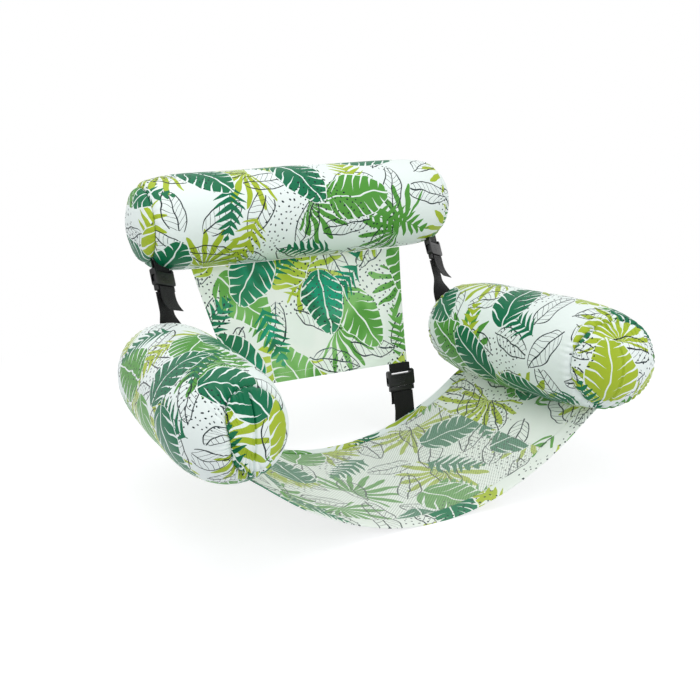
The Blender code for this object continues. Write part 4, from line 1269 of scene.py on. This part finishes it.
class POOLCHAIR_OT_seat(bpy.types.Operator):
    """Make the slung seat: its mesh, side panels, front border and rear hem"""

    bl_idname = "poolchair.seat"
    bl_label = "Seat"

    def execute(self, context):
        colours = context.scene.pool_chair_colours
        sizes = context.scene.pool_chair_sizes
        border_end = SEAT_FRONT_Y + SEAT_BORDER_WIDTH
        hem_start = SEAT_REAR_Y - SEAT_HEM_WIDTH
        side_cut = SEAT_MESH_SHARE + SEAM_GAP / float(seat_edge(0, SEAT_SHEET)[0])
        front, rear = border_end + SEAM_GAP, hem_start - SEAM_GAP
        woven = seat_cloth(colours, sizes)
        inner = (front, rear, SEAT_SHEET)
        border = (SEAT_FRONT_Y, border_end, SEAT_SHEET)
        hem = (hem_start, SEAT_REAR_Y, SEAT_HEM_SHEET)
        # Each piece's node, its extent across, then its extent along and its sheet, its cloth,
        # its place on the print, its slot, its flat size and its puff
        rows = (
            ("seat_mesh_cloth", "seat_mesh", -SEAT_MESH_SHARE, SEAT_MESH_SHARE, inner,
             mesh_cloth(colours, sizes), (0.43, 1.43), "mesh_fabric", (0.447, 0.296), 0.0),
            ("seat_side_cloth_left", "seat_side_panel_left", -1.0, -side_cut, inner,
             woven, (0.32, 2.03), "printed_fabric", (0.091, 0.297), 0.0),
            ("seat_side_cloth_right", "seat_side_panel_right", side_cut, 1.0, inner,
             woven, (2.38, 0.68), "printed_fabric", (0.091, 0.297), 0.0),
            ("seat_front_border_cloth", "seat_front_border", -1.0, 1.0, border,
             woven, (0.95, 1.19), "printed_fabric", (0.667, 0.033), 0.0012),
            ("seat_rear_hem_cloth", "seat_rear_hem", -1.0, 1.0, hem,
             tube_cloth(colours, sizes), (1.96, 1.10), "printed_fabric", (0.597, 0.018), 0.0004),
        )
        for name, node, low, high, along, look, start, slot, flat, puff in rows:
            piece = seat_piece(name, low, high, *along, look, start, puff)
            dress(piece, "seat_and_arms", [node])
        return {"FINISHED"}


# Back panel

def panel_points(low, high):
    """The middle of the panel's cloth between two depths below its top."""
    top, foot = panel_line()
    length = (foot - top).length
    down = (foot - top) / length
    depth = spaced(low, high, CLOTH_PITCH if high - low > NARROW else HEM_PITCH)[:, None]
    across = np.linspace(-1, 1, PANEL_COLUMNS)[None, :]
    share = depth / length
    half = PANEL_TOP_HALF_WIDTH + (PANEL_FOOT_HALF_WIDTH - PANEL_TOP_HALF_WIDTH) * share
    fold = PANEL_FOLD_DEPTH * np.sin(pi * share) * np.cos(PANEL_FOLDS * pi * across)
    wander = 1.4 * np.sin(5 * across + PANEL_SEED) + PANEL_SEED
    creases = np.sin(13 * across + 3.2 * share + wander)
    creases = creases * np.sin(pi * np.clip(share, 0, 1)) ** 0.7
    gathers = np.sin(34 * across - 5 * share + PANEL_SEED) * np.exp(-4.5 * share)
    fold = fold + PANEL_CREASE_DEPTH * creases
    fold = fold + PANEL_GATHER_DEPTH * gathers * ramp(share, 0, PANEL_GATHER_START)
    base = np.array(top) + depth[..., None] * np.array(down)
    base = base + (across * half)[..., None] * np.array((1.0, 0.0, 0.0))
    return base + fold[..., None] * np.array(Vector((1, 0, 0)).cross(down))


class POOLCHAIR_OT_back_panel(bpy.types.Operator):
    """Make the thin back panel and its turned hem"""

    bl_idname = "poolchair.back_panel"
    bl_label = "Back panel"

    def execute(self, context):
        cloth = panel_cloth(context.scene.pool_chair_colours, context.scene.pool_chair_sizes)
        top, foot = panel_line()
        length = (foot - top).length
        fabric_end = length - PANEL_HEM_WIDTH
        rows = (
            ("back_panel", 0, fabric_end, PANEL_SHEET, (0.376, fabric_end)),
            ("back_panel_hem", fabric_end + SEAM_GAP, length, PANEL_HEM_SHEET,
             (0.339, PANEL_HEM_WIDTH)),
        )
        for node, low, high, sheet, flat in rows:
            points = panel_points(low, high)
            places = cut_places(points, (1.60, 1.43 + low))
            piece = grid_object(node + "_cloth", points, places, cloth)
            wall(piece, sheet)
            dress(piece, "backrest", [node])
        return {"FINISHED"}


# Straps

def half_turn(rear_from, rear_to, level, rise):
    """Points of a squarish half turn over or under a bar, from one layer to the other."""
    middle = (rear_from + rear_to) / 2
    reach = (rear_from - rear_to) / 2
    points = []
    for step in range(LOOP_STEPS + 1):
        angle = pi * step / LOOP_STEPS
        across = abs(cos(angle)) ** TURN_SQUARE_SHARE
        across = -across if 2 * step > LOOP_STEPS else across
        height = level + rise * abs(sin(angle)) ** TURN_SQUARE_SHARE
        points.append((middle + reach * across, height))
    return points


def loop_path(bar_top, rise_above):
    """Down from the seam, round the socket's bar and back up, as rear and down distances."""
    layer = BAR_HEIGHT / 2 + FIT_GAP + WEBBING_THICKNESS / 2
    bend = half_turn(layer, -layer, bar_top + BAR_HEIGHT / 2, layer)
    return [(layer, -rise_above)] + bend + [(-layer, -rise_above)]


def plug_path(bar_level, foot, face, lap, tail_length, flare):
    """From the lap behind the strap, round the plug's bar and down to the free tail's end."""
    inner = face * PLUG_LAYER_OFFSET
    lapped = face * (anchor_layer() - WEBBING_THICKNESS - FIT_GAP)
    tail = -face * (BASE_FRONT + FIT_GAP + WEBBING_THICKNESS / 2)
    path = [(lapped, foot + lap), (lapped, foot + LAP_BEND), (inner, foot)]
    path += half_turn(inner, tail, bar_level, -(2 * FIT_GAP + WEBBING_THICKNESS / 2))
    for step in range(TAIL_STEPS + 1):
        share = step / TAIL_STEPS
        down = bar_level + TAIL_STRAIGHT + (tail_length - TAIL_STRAIGHT) * share
        path.append((tail - face * flare * share ** 2, down))
    return path


def resampled(path, pitch):
    """The path with points no further apart than the pitch."""
    points = [path[0]]
    for before, after in zip(path, path[1:]):
        rear, down = after[0] - before[0], after[1] - before[1]
        count = max(1, int(sqrt(rear ** 2 + down ** 2) / pitch) + 1)
        for step in range(1, count + 1):
            share = step / count
            points.append((before[0] + rear * share, before[1] + down * share))
    return np.array(points)


def twist_along(down, start, end, turn):
    """How far the sewn-on webbing has turned back at each distance down the strap."""
    return -turn * eased(ramp(down, start, end))


def webbing(name, path, matrix, look, twist=None):
    """Woven webbing along a path of rear and down distances, with rounded edges.

    Twist holds where along the strap it turns, and how far."""
    line = resampled(path, WEBBING_PITCH)
    across = np.linspace(-1, 1, WEBBING_COLUMNS)[None, :] * WEBBING_WIDTH / 2
    rear, down = line[:, :1], line[:, 1:]
    angle = twist_along(down, *twist) if twist else 0.0
    points = np.stack(np.broadcast_arrays(
        across * np.cos(angle) - rear * np.sin(angle),
        across * np.sin(angle) + rear * np.cos(angle), -down), axis=-1)
    steps = np.concatenate([[0.0], np.cumsum(np.linalg.norm(np.diff(line, axis=0), axis=1))])
    piece = grid_object(name, placed(points, matrix), paired(across, steps[:, None]), look)
    wall(piece, WEBBING_THICKNESS, even=True)
    round_edges(piece, WEBBING_EDGE, 2)
    return piece


def tube_cutter(tube):
    """The tube as one closed solid, to trim webbing that is sewn to it."""
    ends = (1 - np.linspace(*TRIM_END_RINGS) ** 2) ** (1 / tube["crown"])
    middle = np.linspace(-ends[-1], ends[-1], TRIM_RINGS)[1:-1]
    shares = np.concatenate([-ends, middle, ends[::-1]])[:, None]
    base = tube_points(upright(tube), shares, ring(TRIM_AROUND), TRIM_INSET)
    build = bmesh.new()
    rows = [[build.verts.new(point) for point in row] for row in placed(base, tube["matrix"])]
    for lower, upper in zip(rows, rows[1:]):
        for step in range(TRIM_AROUND):
            after = (step + 1) % TRIM_AROUND
            build.faces.new((lower[step], lower[after], upper[after], upper[step]))
    build.faces.new(rows[0])
    build.faces.new(rows[-1])
    bmesh.ops.recalc_face_normals(build, faces=build.faces)
    mesh = bpy.data.meshes.new("trim")
    build.to_mesh(mesh)
    build.free()
    return linked("trim", mesh)


def discard(piece):
    mesh = piece.data
    bpy.data.objects.remove(piece)
    bpy.data.meshes.remove(mesh)


def cut(piece, cutter, operation="DIFFERENCE"):
    """Cut one shape out of another or join them, and remove the second."""
    apply_modifier(piece, "BOOLEAN", operation=operation, object=cutter, solver="EXACT")
    discard(cutter)


class POOLCHAIR_OT_webbing(bpy.types.Operator):
    """Make the webbing of the four straps"""

    bl_idname = "poolchair.webbing"
    bl_label = "Strap webbing"

    def execute(self, context):
        look = webbing_material(context.scene.pool_chair_colours, context.scene.pool_chair_sizes)
        for level, strap in STRAPS.items():
            start, end = strap["ends"]
            mouth = strap["bar_top"] + BAR_HEIGHT + LOOP_WINDOW + SOCKET_LENGTH
            bar_level = mouth + FIT_GAP + BASE_RECESS
            foot = mouth + FIT_GAP + BASE_LENGTH
            layer = strap["face"] * anchor_layer()
            length = (end - start).length
            flap = strap["flap"]
            run = [(layer, foot + LAP_START), (layer, length),
                   (layer + flap[0], length + flap[1])]
            twist = (foot + TWIST_START, length, strap["turn"]) if strap["turn"] else None
            upper_name, lower_name = strap["names"]
            for side, word in SIDES:
                prefix = level + "_strap_" + word
                matrix = strap_frame(side * strap["x"], start, end, strap["turn"])
                path = loop_path(strap["bar_top"], strap["above"])
                top = webbing(prefix + upper_name + "_cloth", path, matrix, look)
                anchored = webbing(prefix + lower_name + "_cloth", run, matrix, look, twist)
                if level == "upper":
                    cut(top, tube_cutter(headrest_tube()))
                    cut(anchored, tube_cutter(arm_tube(side)))
                dress(top, "backrest", [prefix + upper_name])
                path = plug_path(bar_level, foot, strap["face"], strap["lap"], strap["tail"],
                                 strap["flare"])
                looped = webbing(prefix + "_buckle_webbing_cloth", path, matrix, look)
                dress(looped, level + "_" + word + "_buckle_plug",
                      [prefix + "_buckle_webbing"])
                smooth_by_angle(anchored, SMOOTH_ANGLE)
                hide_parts(prefix + lower_name)
                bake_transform(anchored)
        return {"FINISHED"}


# Buckles, modelled once at the origin with their own Z up the strap

def settled(name, look):
    """The shape just added, with its name, its place and size in its mesh and its material."""
    made = bpy.context.object
    made.name = name
    bpy.ops.object.transform_apply(location=True, rotation=True, scale=True)
    made.data.materials.append(look)
    return made


def block(name, low, high, look, bevel=0.0, segments=3):
    """A box between two corners, with rounded edges where asked."""
    deselect()
    bpy.ops.mesh.primitive_cube_add(size=1, location=[(a + b) / 2 for a, b in zip(low, high)])
    bpy.context.object.scale = [b - a for a, b in zip(low, high)]
    made = settled(name, look)
    if bevel:
        apply_modifier(made, "BEVEL", width=bevel, segments=segments, limit_method="NONE")
    return made


def rod(name, radius, length, look, centre=(0, 0, 0), turn=(0, 0, 0), sides=32):
    """A round bar, upright unless it is turned."""
    deselect()
    bpy.ops.mesh.primitive_cylinder_add(vertices=sides, radius=radius, depth=length,
                                        location=centre, rotation=turn)
    return settled(name, look)


def select_rear_edges(mesh):
    """Select a box's edges that run from front to back."""
    build = bmesh.from_edit_mesh(mesh)
    for line in build.edges:
        first, second = (corner.co for corner in line.verts)
        if abs(first.x - second.x) < 1e-6 and abs(first.z - second.z) < 1e-6:
            line.select_set(True)
    bmesh.update_edit_mesh(mesh)


def socket_shape(look, edge):
    """The buckle's socket: loop bar and rails, a hollow body with side windows and grip ridges."""
    rail = WEBBING_WIDTH / 2 + BUCKLE_SIDE_GAP
    half_width = SOCKET_WIDTH / 2
    half_thick = SOCKET_THICKNESS / 2
    body_top = BAR_HEIGHT + LOOP_WINDOW
    mouth = body_top + SOCKET_LENGTH
    made = block("socket", (-half_width, -half_thick, -mouth), (half_width, half_thick, 0), look)
    only(made)
    bpy.ops.object.mode_set(mode="EDIT")
    bpy.ops.mesh.select_all(action="DESELECT")
    select_rear_edges(made.data)
    bpy.ops.mesh.bevel(offset=BUCKLE_CORNER, segments=6, affect="EDGES")
    bpy.ops.object.mode_set(mode="OBJECT")
    round_edges(made, edge, 3)
    cut(made, block("cut", (-rail, -SOCKET_THICKNESS, -body_top),
                    (rail, SOCKET_THICKNESS, BAR_HEIGHT), look))
    cut(made, rod("bar", BAR_HEIGHT / 2, SOCKET_WIDTH - 2 * BAR_END_INSET, look,
                  (0, 0, -BAR_HEIGHT / 2), (0, pi / 2, 0)), "UNION")
    wide = half_width - SOCKET_SIDE_WALL
    thick = half_thick - SOCKET_FACE_WALL
    cut(made, block("cut", (-wide, -thick, -mouth - SOCKET_DEPTH),
                    (wide, thick, -(mouth - SOCKET_DEPTH)), look, CAVITY_EDGE, 2))
    window_top = body_top + WINDOW_START
    cut(made, block("cut", (-SOCKET_WIDTH, -thick, -(window_top + WINDOW_LENGTH)),
                    (SOCKET_WIDTH, thick, -window_top), look, WINDOW_EDGE))
    for face in (-1, 1):
        for step in range(RIDGES):
            level = -(body_top + RIDGE_START + step * RIDGE_PITCH)
            wide = RIDGE_HALF_WIDTH - RIDGE_TAPER * step
            low = (-wide, face * half_thick - RIDGE_HEIGHT, level - RIDGE_HALF_LENGTH)
            high = (wide, face * half_thick + RIDGE_HEIGHT, level + RIDGE_HALF_LENGTH)
            cut(made, block("ridge", low, high, look, RIDGE_EDGE, 2), "UNION")
    return made


def plug_shape(look, edge):
    """The buckle's plug for webbing whose tail lies in front: base, bars, prongs and a guide."""
    rail = WEBBING_WIDTH / 2 + BUCKLE_SIDE_GAP
    half_width = BASE_WIDTH / 2
    layer = PLUG_LAYER_OFFSET - WEBBING_THICKNESS / 2 - FIT_GAP
    plate = BASE_BACK - BASE_BACK_PLATE
    made = block("plug", (-half_width, -BASE_FRONT, -BASE_LENGTH), (half_width, BASE_BACK, 0), look,
                 edge)
    cut(made, block("cut", (-rail, layer, -(BASE_LENGTH + FIT_GAP)), (rail, plate, FIT_GAP), look))
    cut(made, block("cut", (-rail, -SOCKET_THICKNESS, -BASE_RECESS), (rail, plate, FIT_GAP), look))
    prong_out = SOCKET_WIDTH / 2 - SOCKET_SIDE_WALL - FIT_GAP
    prong_half = min(SOCKET_THICKNESS / 2 - SOCKET_FACE_WALL - FIT_GAP, BASE_FRONT)
    for side in (-1, 1):
        near, far = sorted((side * (prong_out - PRONG_WIDTH), side * prong_out))
        cut(made, block("prong", (near, -prong_half, -BASE_RECESS),
                        (far, prong_half, PRONG_LENGTH), look, PRONG_EDGE), "UNION")
    return made


def copy_of(source, name, matrix):
    """A copy with its own mesh, placed by its vertices."""
    mesh = source.data.copy()
    mesh.name = name
    mesh.transform(matrix)
    return linked(name, mesh)


class POOLCHAIR_OT_buckles(bpy.types.Operator):
    """Make the sockets and plugs of the four side-release buckles"""

    bl_idname = "poolchair.buckles"
    bl_label = "Buckles"

    def execute(self, context):
        look = buckle_material(context.scene.pool_chair_colours)
        edge = context.scene.pool_chair_sizes.edge_round
        socket = socket_shape(look, edge)
        plug = plug_shape(look, edge)
        for level, strap in STRAPS.items():
            start, end = strap["ends"]
            mouth = BAR_HEIGHT + LOOP_WINDOW + SOCKET_LENGTH + FIT_GAP
            turn = Matrix.Rotation(0 if strap["face"] > 0 else pi, 4, "Z")
            for side, word in SIDES:
                prefix = level + "_strap_" + word
                matrix = strap_frame(side * strap["x"], start, end, strap["turn"])
                matrix = matrix @ Matrix.Translation((0, 0, -strap["bar_top"]))
                made = copy_of(socket, prefix + "_moulded_socket", matrix)
                dress(made, "backrest", [prefix + "_buckle_socket"], EDGE_ANGLE)
                matrix = matrix @ Matrix.Translation((0, 0, -mouth)) @ turn
                made = copy_of(plug, prefix + "_moulded_plug", matrix)
                body = level + "_" + word + "_buckle_plug"
                dress(made, body, [prefix + "_buckle_plug"], EDGE_ANGLE)
        discard(socket)
        discard(plug)
        return {"FINISHED"}


# Valves

def select_smallest_top(mesh, level):
    """Select the smallest round face that lies flat at this height."""
    bpy.ops.mesh.select_mode(type="FACE")
    bpy.ops.mesh.select_all(action="DESELECT")
    build = bmesh.from_edit_mesh(mesh)
    flat = [face for face in build.faces if len(face.verts) > 4
            and all(abs(corner.co.z - level) < 1e-7 for corner in face.verts)]
    smallest = min(flat, key=lambda face: face.calc_area())
    smallest.select_set(True)
    build.faces.active = smallest
    bmesh.update_edit_mesh(mesh)


def stepped_turning(name, radius, first, steps, look):
    """A turned shape: a disc, then insets and rises on its top face."""
    made = rod(name, radius, first, look, (0, 0, first / 2), sides=TURNED_SIDES)
    level = first
    bpy.ops.object.mode_set(mode="EDIT")
    for inset, rise in steps:
        select_smallest_top(made.data, level)
        if inset:
            bpy.ops.mesh.inset(thickness=inset, depth=0)
        if rise:
            bpy.ops.mesh.extrude_region_move(TRANSFORM_OT_translate={"value": (0, 0, rise)})
        level += rise
    bpy.ops.object.mode_set(mode="OBJECT")
    face_outward(made)
    return made


def valve_stem(look):
    """A flange inside the tube and a stem through its end, with a bore for the plug."""
    length = chamber_inset() - FIT_GAP + VALVE_STEM_HEIGHT - VALVE_FLANGE_THICKNESS
    made = stepped_turning("stem", VALVE_FLANGE_RADIUS, VALVE_FLANGE_THICKNESS, (
        (VALVE_FLANGE_RADIUS - VALVE_STEM_RADIUS, length),
        (VALVE_STEM_RADIUS - VALVE_BORE_RADIUS, -(PLUG_SHANK_LENGTH + VALVE_ROOM))), look)
    round_edges(made, VALVE_EDGE, 2)
    return made


def valve_plug(look):
    """A dished head over a shank that fills the bore."""
    made = stepped_turning("plug", PLUG_HEAD_RADIUS, PLUG_HEAD_THICKNESS, PLUG_DISH, look)
    made.data.transform(Matrix.Translation((0, 0, FIT_GAP)))
    length = PLUG_SHANK_LENGTH + PLUG_SHANK_OVERLAP
    middle = (0, 0, FIT_GAP + PLUG_SHANK_OVERLAP - length / 2)
    cut(made, rod("shank", VALVE_BORE_RADIUS - FIT_GAP, length, look, middle, sides=TURNED_SIDES),
        "UNION")
    round_edges(made, PLUG_EDGE, 2)
    return made


class POOLCHAIR_OT_valves(bpy.types.Operator):
    """Make the valve stem and push-in plug of each tube"""

    bl_idname = "poolchair.valves"
    bl_label = "Valves"

    def execute(self, context):
        look = valve_material(context.scene.pool_chair_colours)
        stem = valve_stem(look)
        plug = valve_plug(look)
        rows = (
            ("headrest", headrest_tube(), 1, "backrest", "headrest_valve_plug"),
            ("armrest_left", arm_tube(-1), -1, "seat_and_arms", "left_arm_valve_plug"),
            ("armrest_right", arm_tube(1), -1, "seat_and_arms", "right_arm_valve_plug"),
        )
        for prefix, tube, end, body, plug_body in rows:
            turn = Matrix.Identity(4) if end > 0 else Matrix.Rotation(pi, 4, "X")
            foot = tube["half"] - chamber_inset() + FIT_GAP
            matrix = tube["matrix"] @ turn
            made = copy_of(stem, prefix + "_moulded_valve",
                           matrix @ Matrix.Translation((0, 0, foot)))
            dress(made, body, [prefix + "_valve_stem"], EDGE_ANGLE)
            head = tube["half"] + VALVE_STEM_HEIGHT
            made = copy_of(plug, prefix + "_moulded_valve_plug",
                           matrix @ Matrix.Translation((0, 0, head)))
            dress(made, plug_body, [prefix + "_valve_plug"], EDGE_ANGLE)
        discard(stem)
        discard(plug)
        return {"FINISHED"}


# Stage

FLOOR_SIZE = 12
FLOOR_LEVEL = -0.0003
# How much light the floor and the room add, and where the floor fades to white
FLOOR_GLOW = 0.74
ROOM_LIGHT = 0.75
FLOOR_FADE = (0.55, 1.0)
WHITE = (1, 1, 1, 1)
# Each lamp's name, place, aim, size and power
LAMPS = (
    ("overhead_softbox", (-0.35, 0.15, 1.9), (0, 0, 0.2), 1.6, 9.5),
    ("left_softbox", (-1.8, -0.9, 1.1), (0, 0, 0.25), 1.2, 4.5),
    ("front_fill", (0.9, -1.9, 1.0), (0, 0, 0.2), 1.5, 10.0),
)


def ray_kinds(tree):
    """Two tests on a ray: whether it is the camera's own, and whether it shows in the picture,
    straight, mirrored or seen through something."""
    rays = add(tree, "LightPath").outputs
    known = reckon(tree, {"camera": rays["Is Camera Ray"], "gloss": rays["Is Glossy Ray"],
                          "through": rays["Is Transmission Ray"]}, (
        ("seen", "MAXIMUM", "camera", "gloss"), ("seen", "MAXIMUM", "seen", "through")))
    return known["camera"], known["seen"]


def floor_material(colours):
    """Matt white paper, evenly lit, with only the chair's soft shadow on it."""
    made, tree = new_material("plain_white_paper")
    if tree is None:
        return made
    camera, seen = ray_kinds(tree)
    tone = add(tree, "Mix", COLOUR_MIX, {
        "Factor": camera, 6: colours.floor_bounce, 7: colours.floor}).outputs[2]
    paper = add(tree, "BsdfDiffuse", (), {"Color": tone})
    glow = add(tree, "Emission", (), {"Color": WHITE, "Strength": FLOOR_GLOW})
    dark = add(tree, "Emission", (), {"Strength": 0.0})
    blank = add(tree, "Emission", (), {"Color": WHITE, "Strength": 1.0})
    place = add(tree, "TexCoord").outputs["Object"]
    far = add(tree, "VectorMath", {"operation": "LENGTH"}, {0: place}).outputs["Value"]
    far = add(tree, "MapRange", {"interpolation_type": "SMOOTHSTEP"}, {
        "Value": far, "From Min": FLOOR_FADE[0], "From Max": FLOOR_FADE[1]}).outputs[0]
    away = reckon(tree, {"far": far, "seen": seen}, (("away", "MULTIPLY", "far", "seen"),))["away"]
    lift = add(tree, "MixShader", (), {0: seen, 1: dark.outputs[0], 2: glow.outputs[0]})
    both = add(tree, "AddShader", (), {0: paper.outputs[0], 1: lift.outputs[0]})
    shown = add(tree, "MixShader", (), {0: away, 1: both.outputs[0], 2: blank.outputs[0]})
    finish_material(tree, shown)
    return made


def studio_world(colours):
    """Soft light from all round, behind which the camera sees plain white."""
    world = bpy.data.worlds.new("studio")
    world.use_nodes = True
    tree = world.node_tree
    tree.nodes.clear()
    seen = ray_kinds(tree)[1]
    shown = add(tree, "Background", (), {"Color": WHITE, "Strength": 1.0})
    light = add(tree, "Background", (), {"Color": colours.sky, "Strength": ROOM_LIGHT})
    mixed = add(tree, "MixShader", (), {0: seen, 1: light.outputs[0], 2: shown.outputs[0]})
    out = tree.nodes.new("ShaderNodeOutputWorld")
    tree.links.new(mixed.outputs[0], out.inputs[0])
    return world


class POOLCHAIR_OT_stage(bpy.types.Operator):
    """Make the plain floor, soft studio light and the camera"""

    bl_idname = "poolchair.stage"
    bl_label = "Floor, light and camera"

    def execute(self, context):
        scene = context.scene
        colours = scene.pool_chair_colours
        deselect()
        bpy.ops.mesh.primitive_plane_add(size=FLOOR_SIZE, location=(0, 0, FLOOR_LEVEL))
        settled("studio_floor", floor_material(colours))
        scene.world = studio_world(colours)
        scene.view_settings.view_transform = "Standard"
        for name, place, aim, size, power in LAMPS:
            lamp = bpy.data.lights.new(name, "AREA")
            lamp.shape = "DISK"
            lamp.size = size
            lamp.energy = power
            made = linked(name, lamp)
            made.location = place
            made.rotation_euler = (Vector(aim) - Vector(place)).to_track_quat("-Z", "Y").to_euler()
        camera = bpy.data.cameras.new("camera")
        camera.lens = 56.57
        camera.sensor_width = 36.0
        made = linked("camera", camera)
        made.location = (-0.831, -1.536, 0.730)
        made.rotation_euler = (radians(73.3), 0, radians(-28.1))
        scene.camera = made
        return {"FINISHED"}


class POOLCHAIR_PT_panel(bpy.types.Panel):
    """Buttons for each part of the chair"""

    bl_idname = "POOLCHAIR_PT_panel"
    bl_label = "Pool chair"
    bl_space_type = "VIEW_3D"
    bl_region_type = "UI"
    bl_category = "Pool chair"

    def draw(self, context):
        for operator in OPERATORS:
            self.layout.operator(operator.bl_idname)
        for group in (context.scene.pool_chair_sizes, context.scene.pool_chair_colours):
            for name in group.__annotations__:
                self.layout.prop(group, name)


OPERATORS = (
    POOLCHAIR_OT_stage, POOLCHAIR_OT_tubes, POOLCHAIR_OT_seat, POOLCHAIR_OT_back_panel,
    POOLCHAIR_OT_webbing, POOLCHAIR_OT_buckles, POOLCHAIR_OT_valves,
)
CLASSES = (PoolChairSizes, PoolChairColours) + OPERATORS + (POOLCHAIR_PT_panel,)


def register():
    for each in CLASSES:
        bpy.utils.register_class(each)
    bpy.types.Scene.pool_chair_sizes = bpy.props.PointerProperty(type=PoolChairSizes)
    bpy.types.Scene.pool_chair_colours = bpy.props.PointerProperty(type=PoolChairColours)


def unregister():
    del bpy.types.Scene.pool_chair_colours
    del bpy.types.Scene.pool_chair_sizes
    for each in reversed(CLASSES):
        bpy.utils.unregister_class(each)


def main():
    register()
    bpy.ops.poolchair.stage()
    bpy.ops.poolchair.tubes()
    bpy.ops.poolchair.seat()
    bpy.ops.poolchair.back_panel()
    bpy.ops.poolchair.webbing()
    bpy.ops.poolchair.buckles()
    bpy.ops.poolchair.valves()


if __name__ == "__main__":
    main()
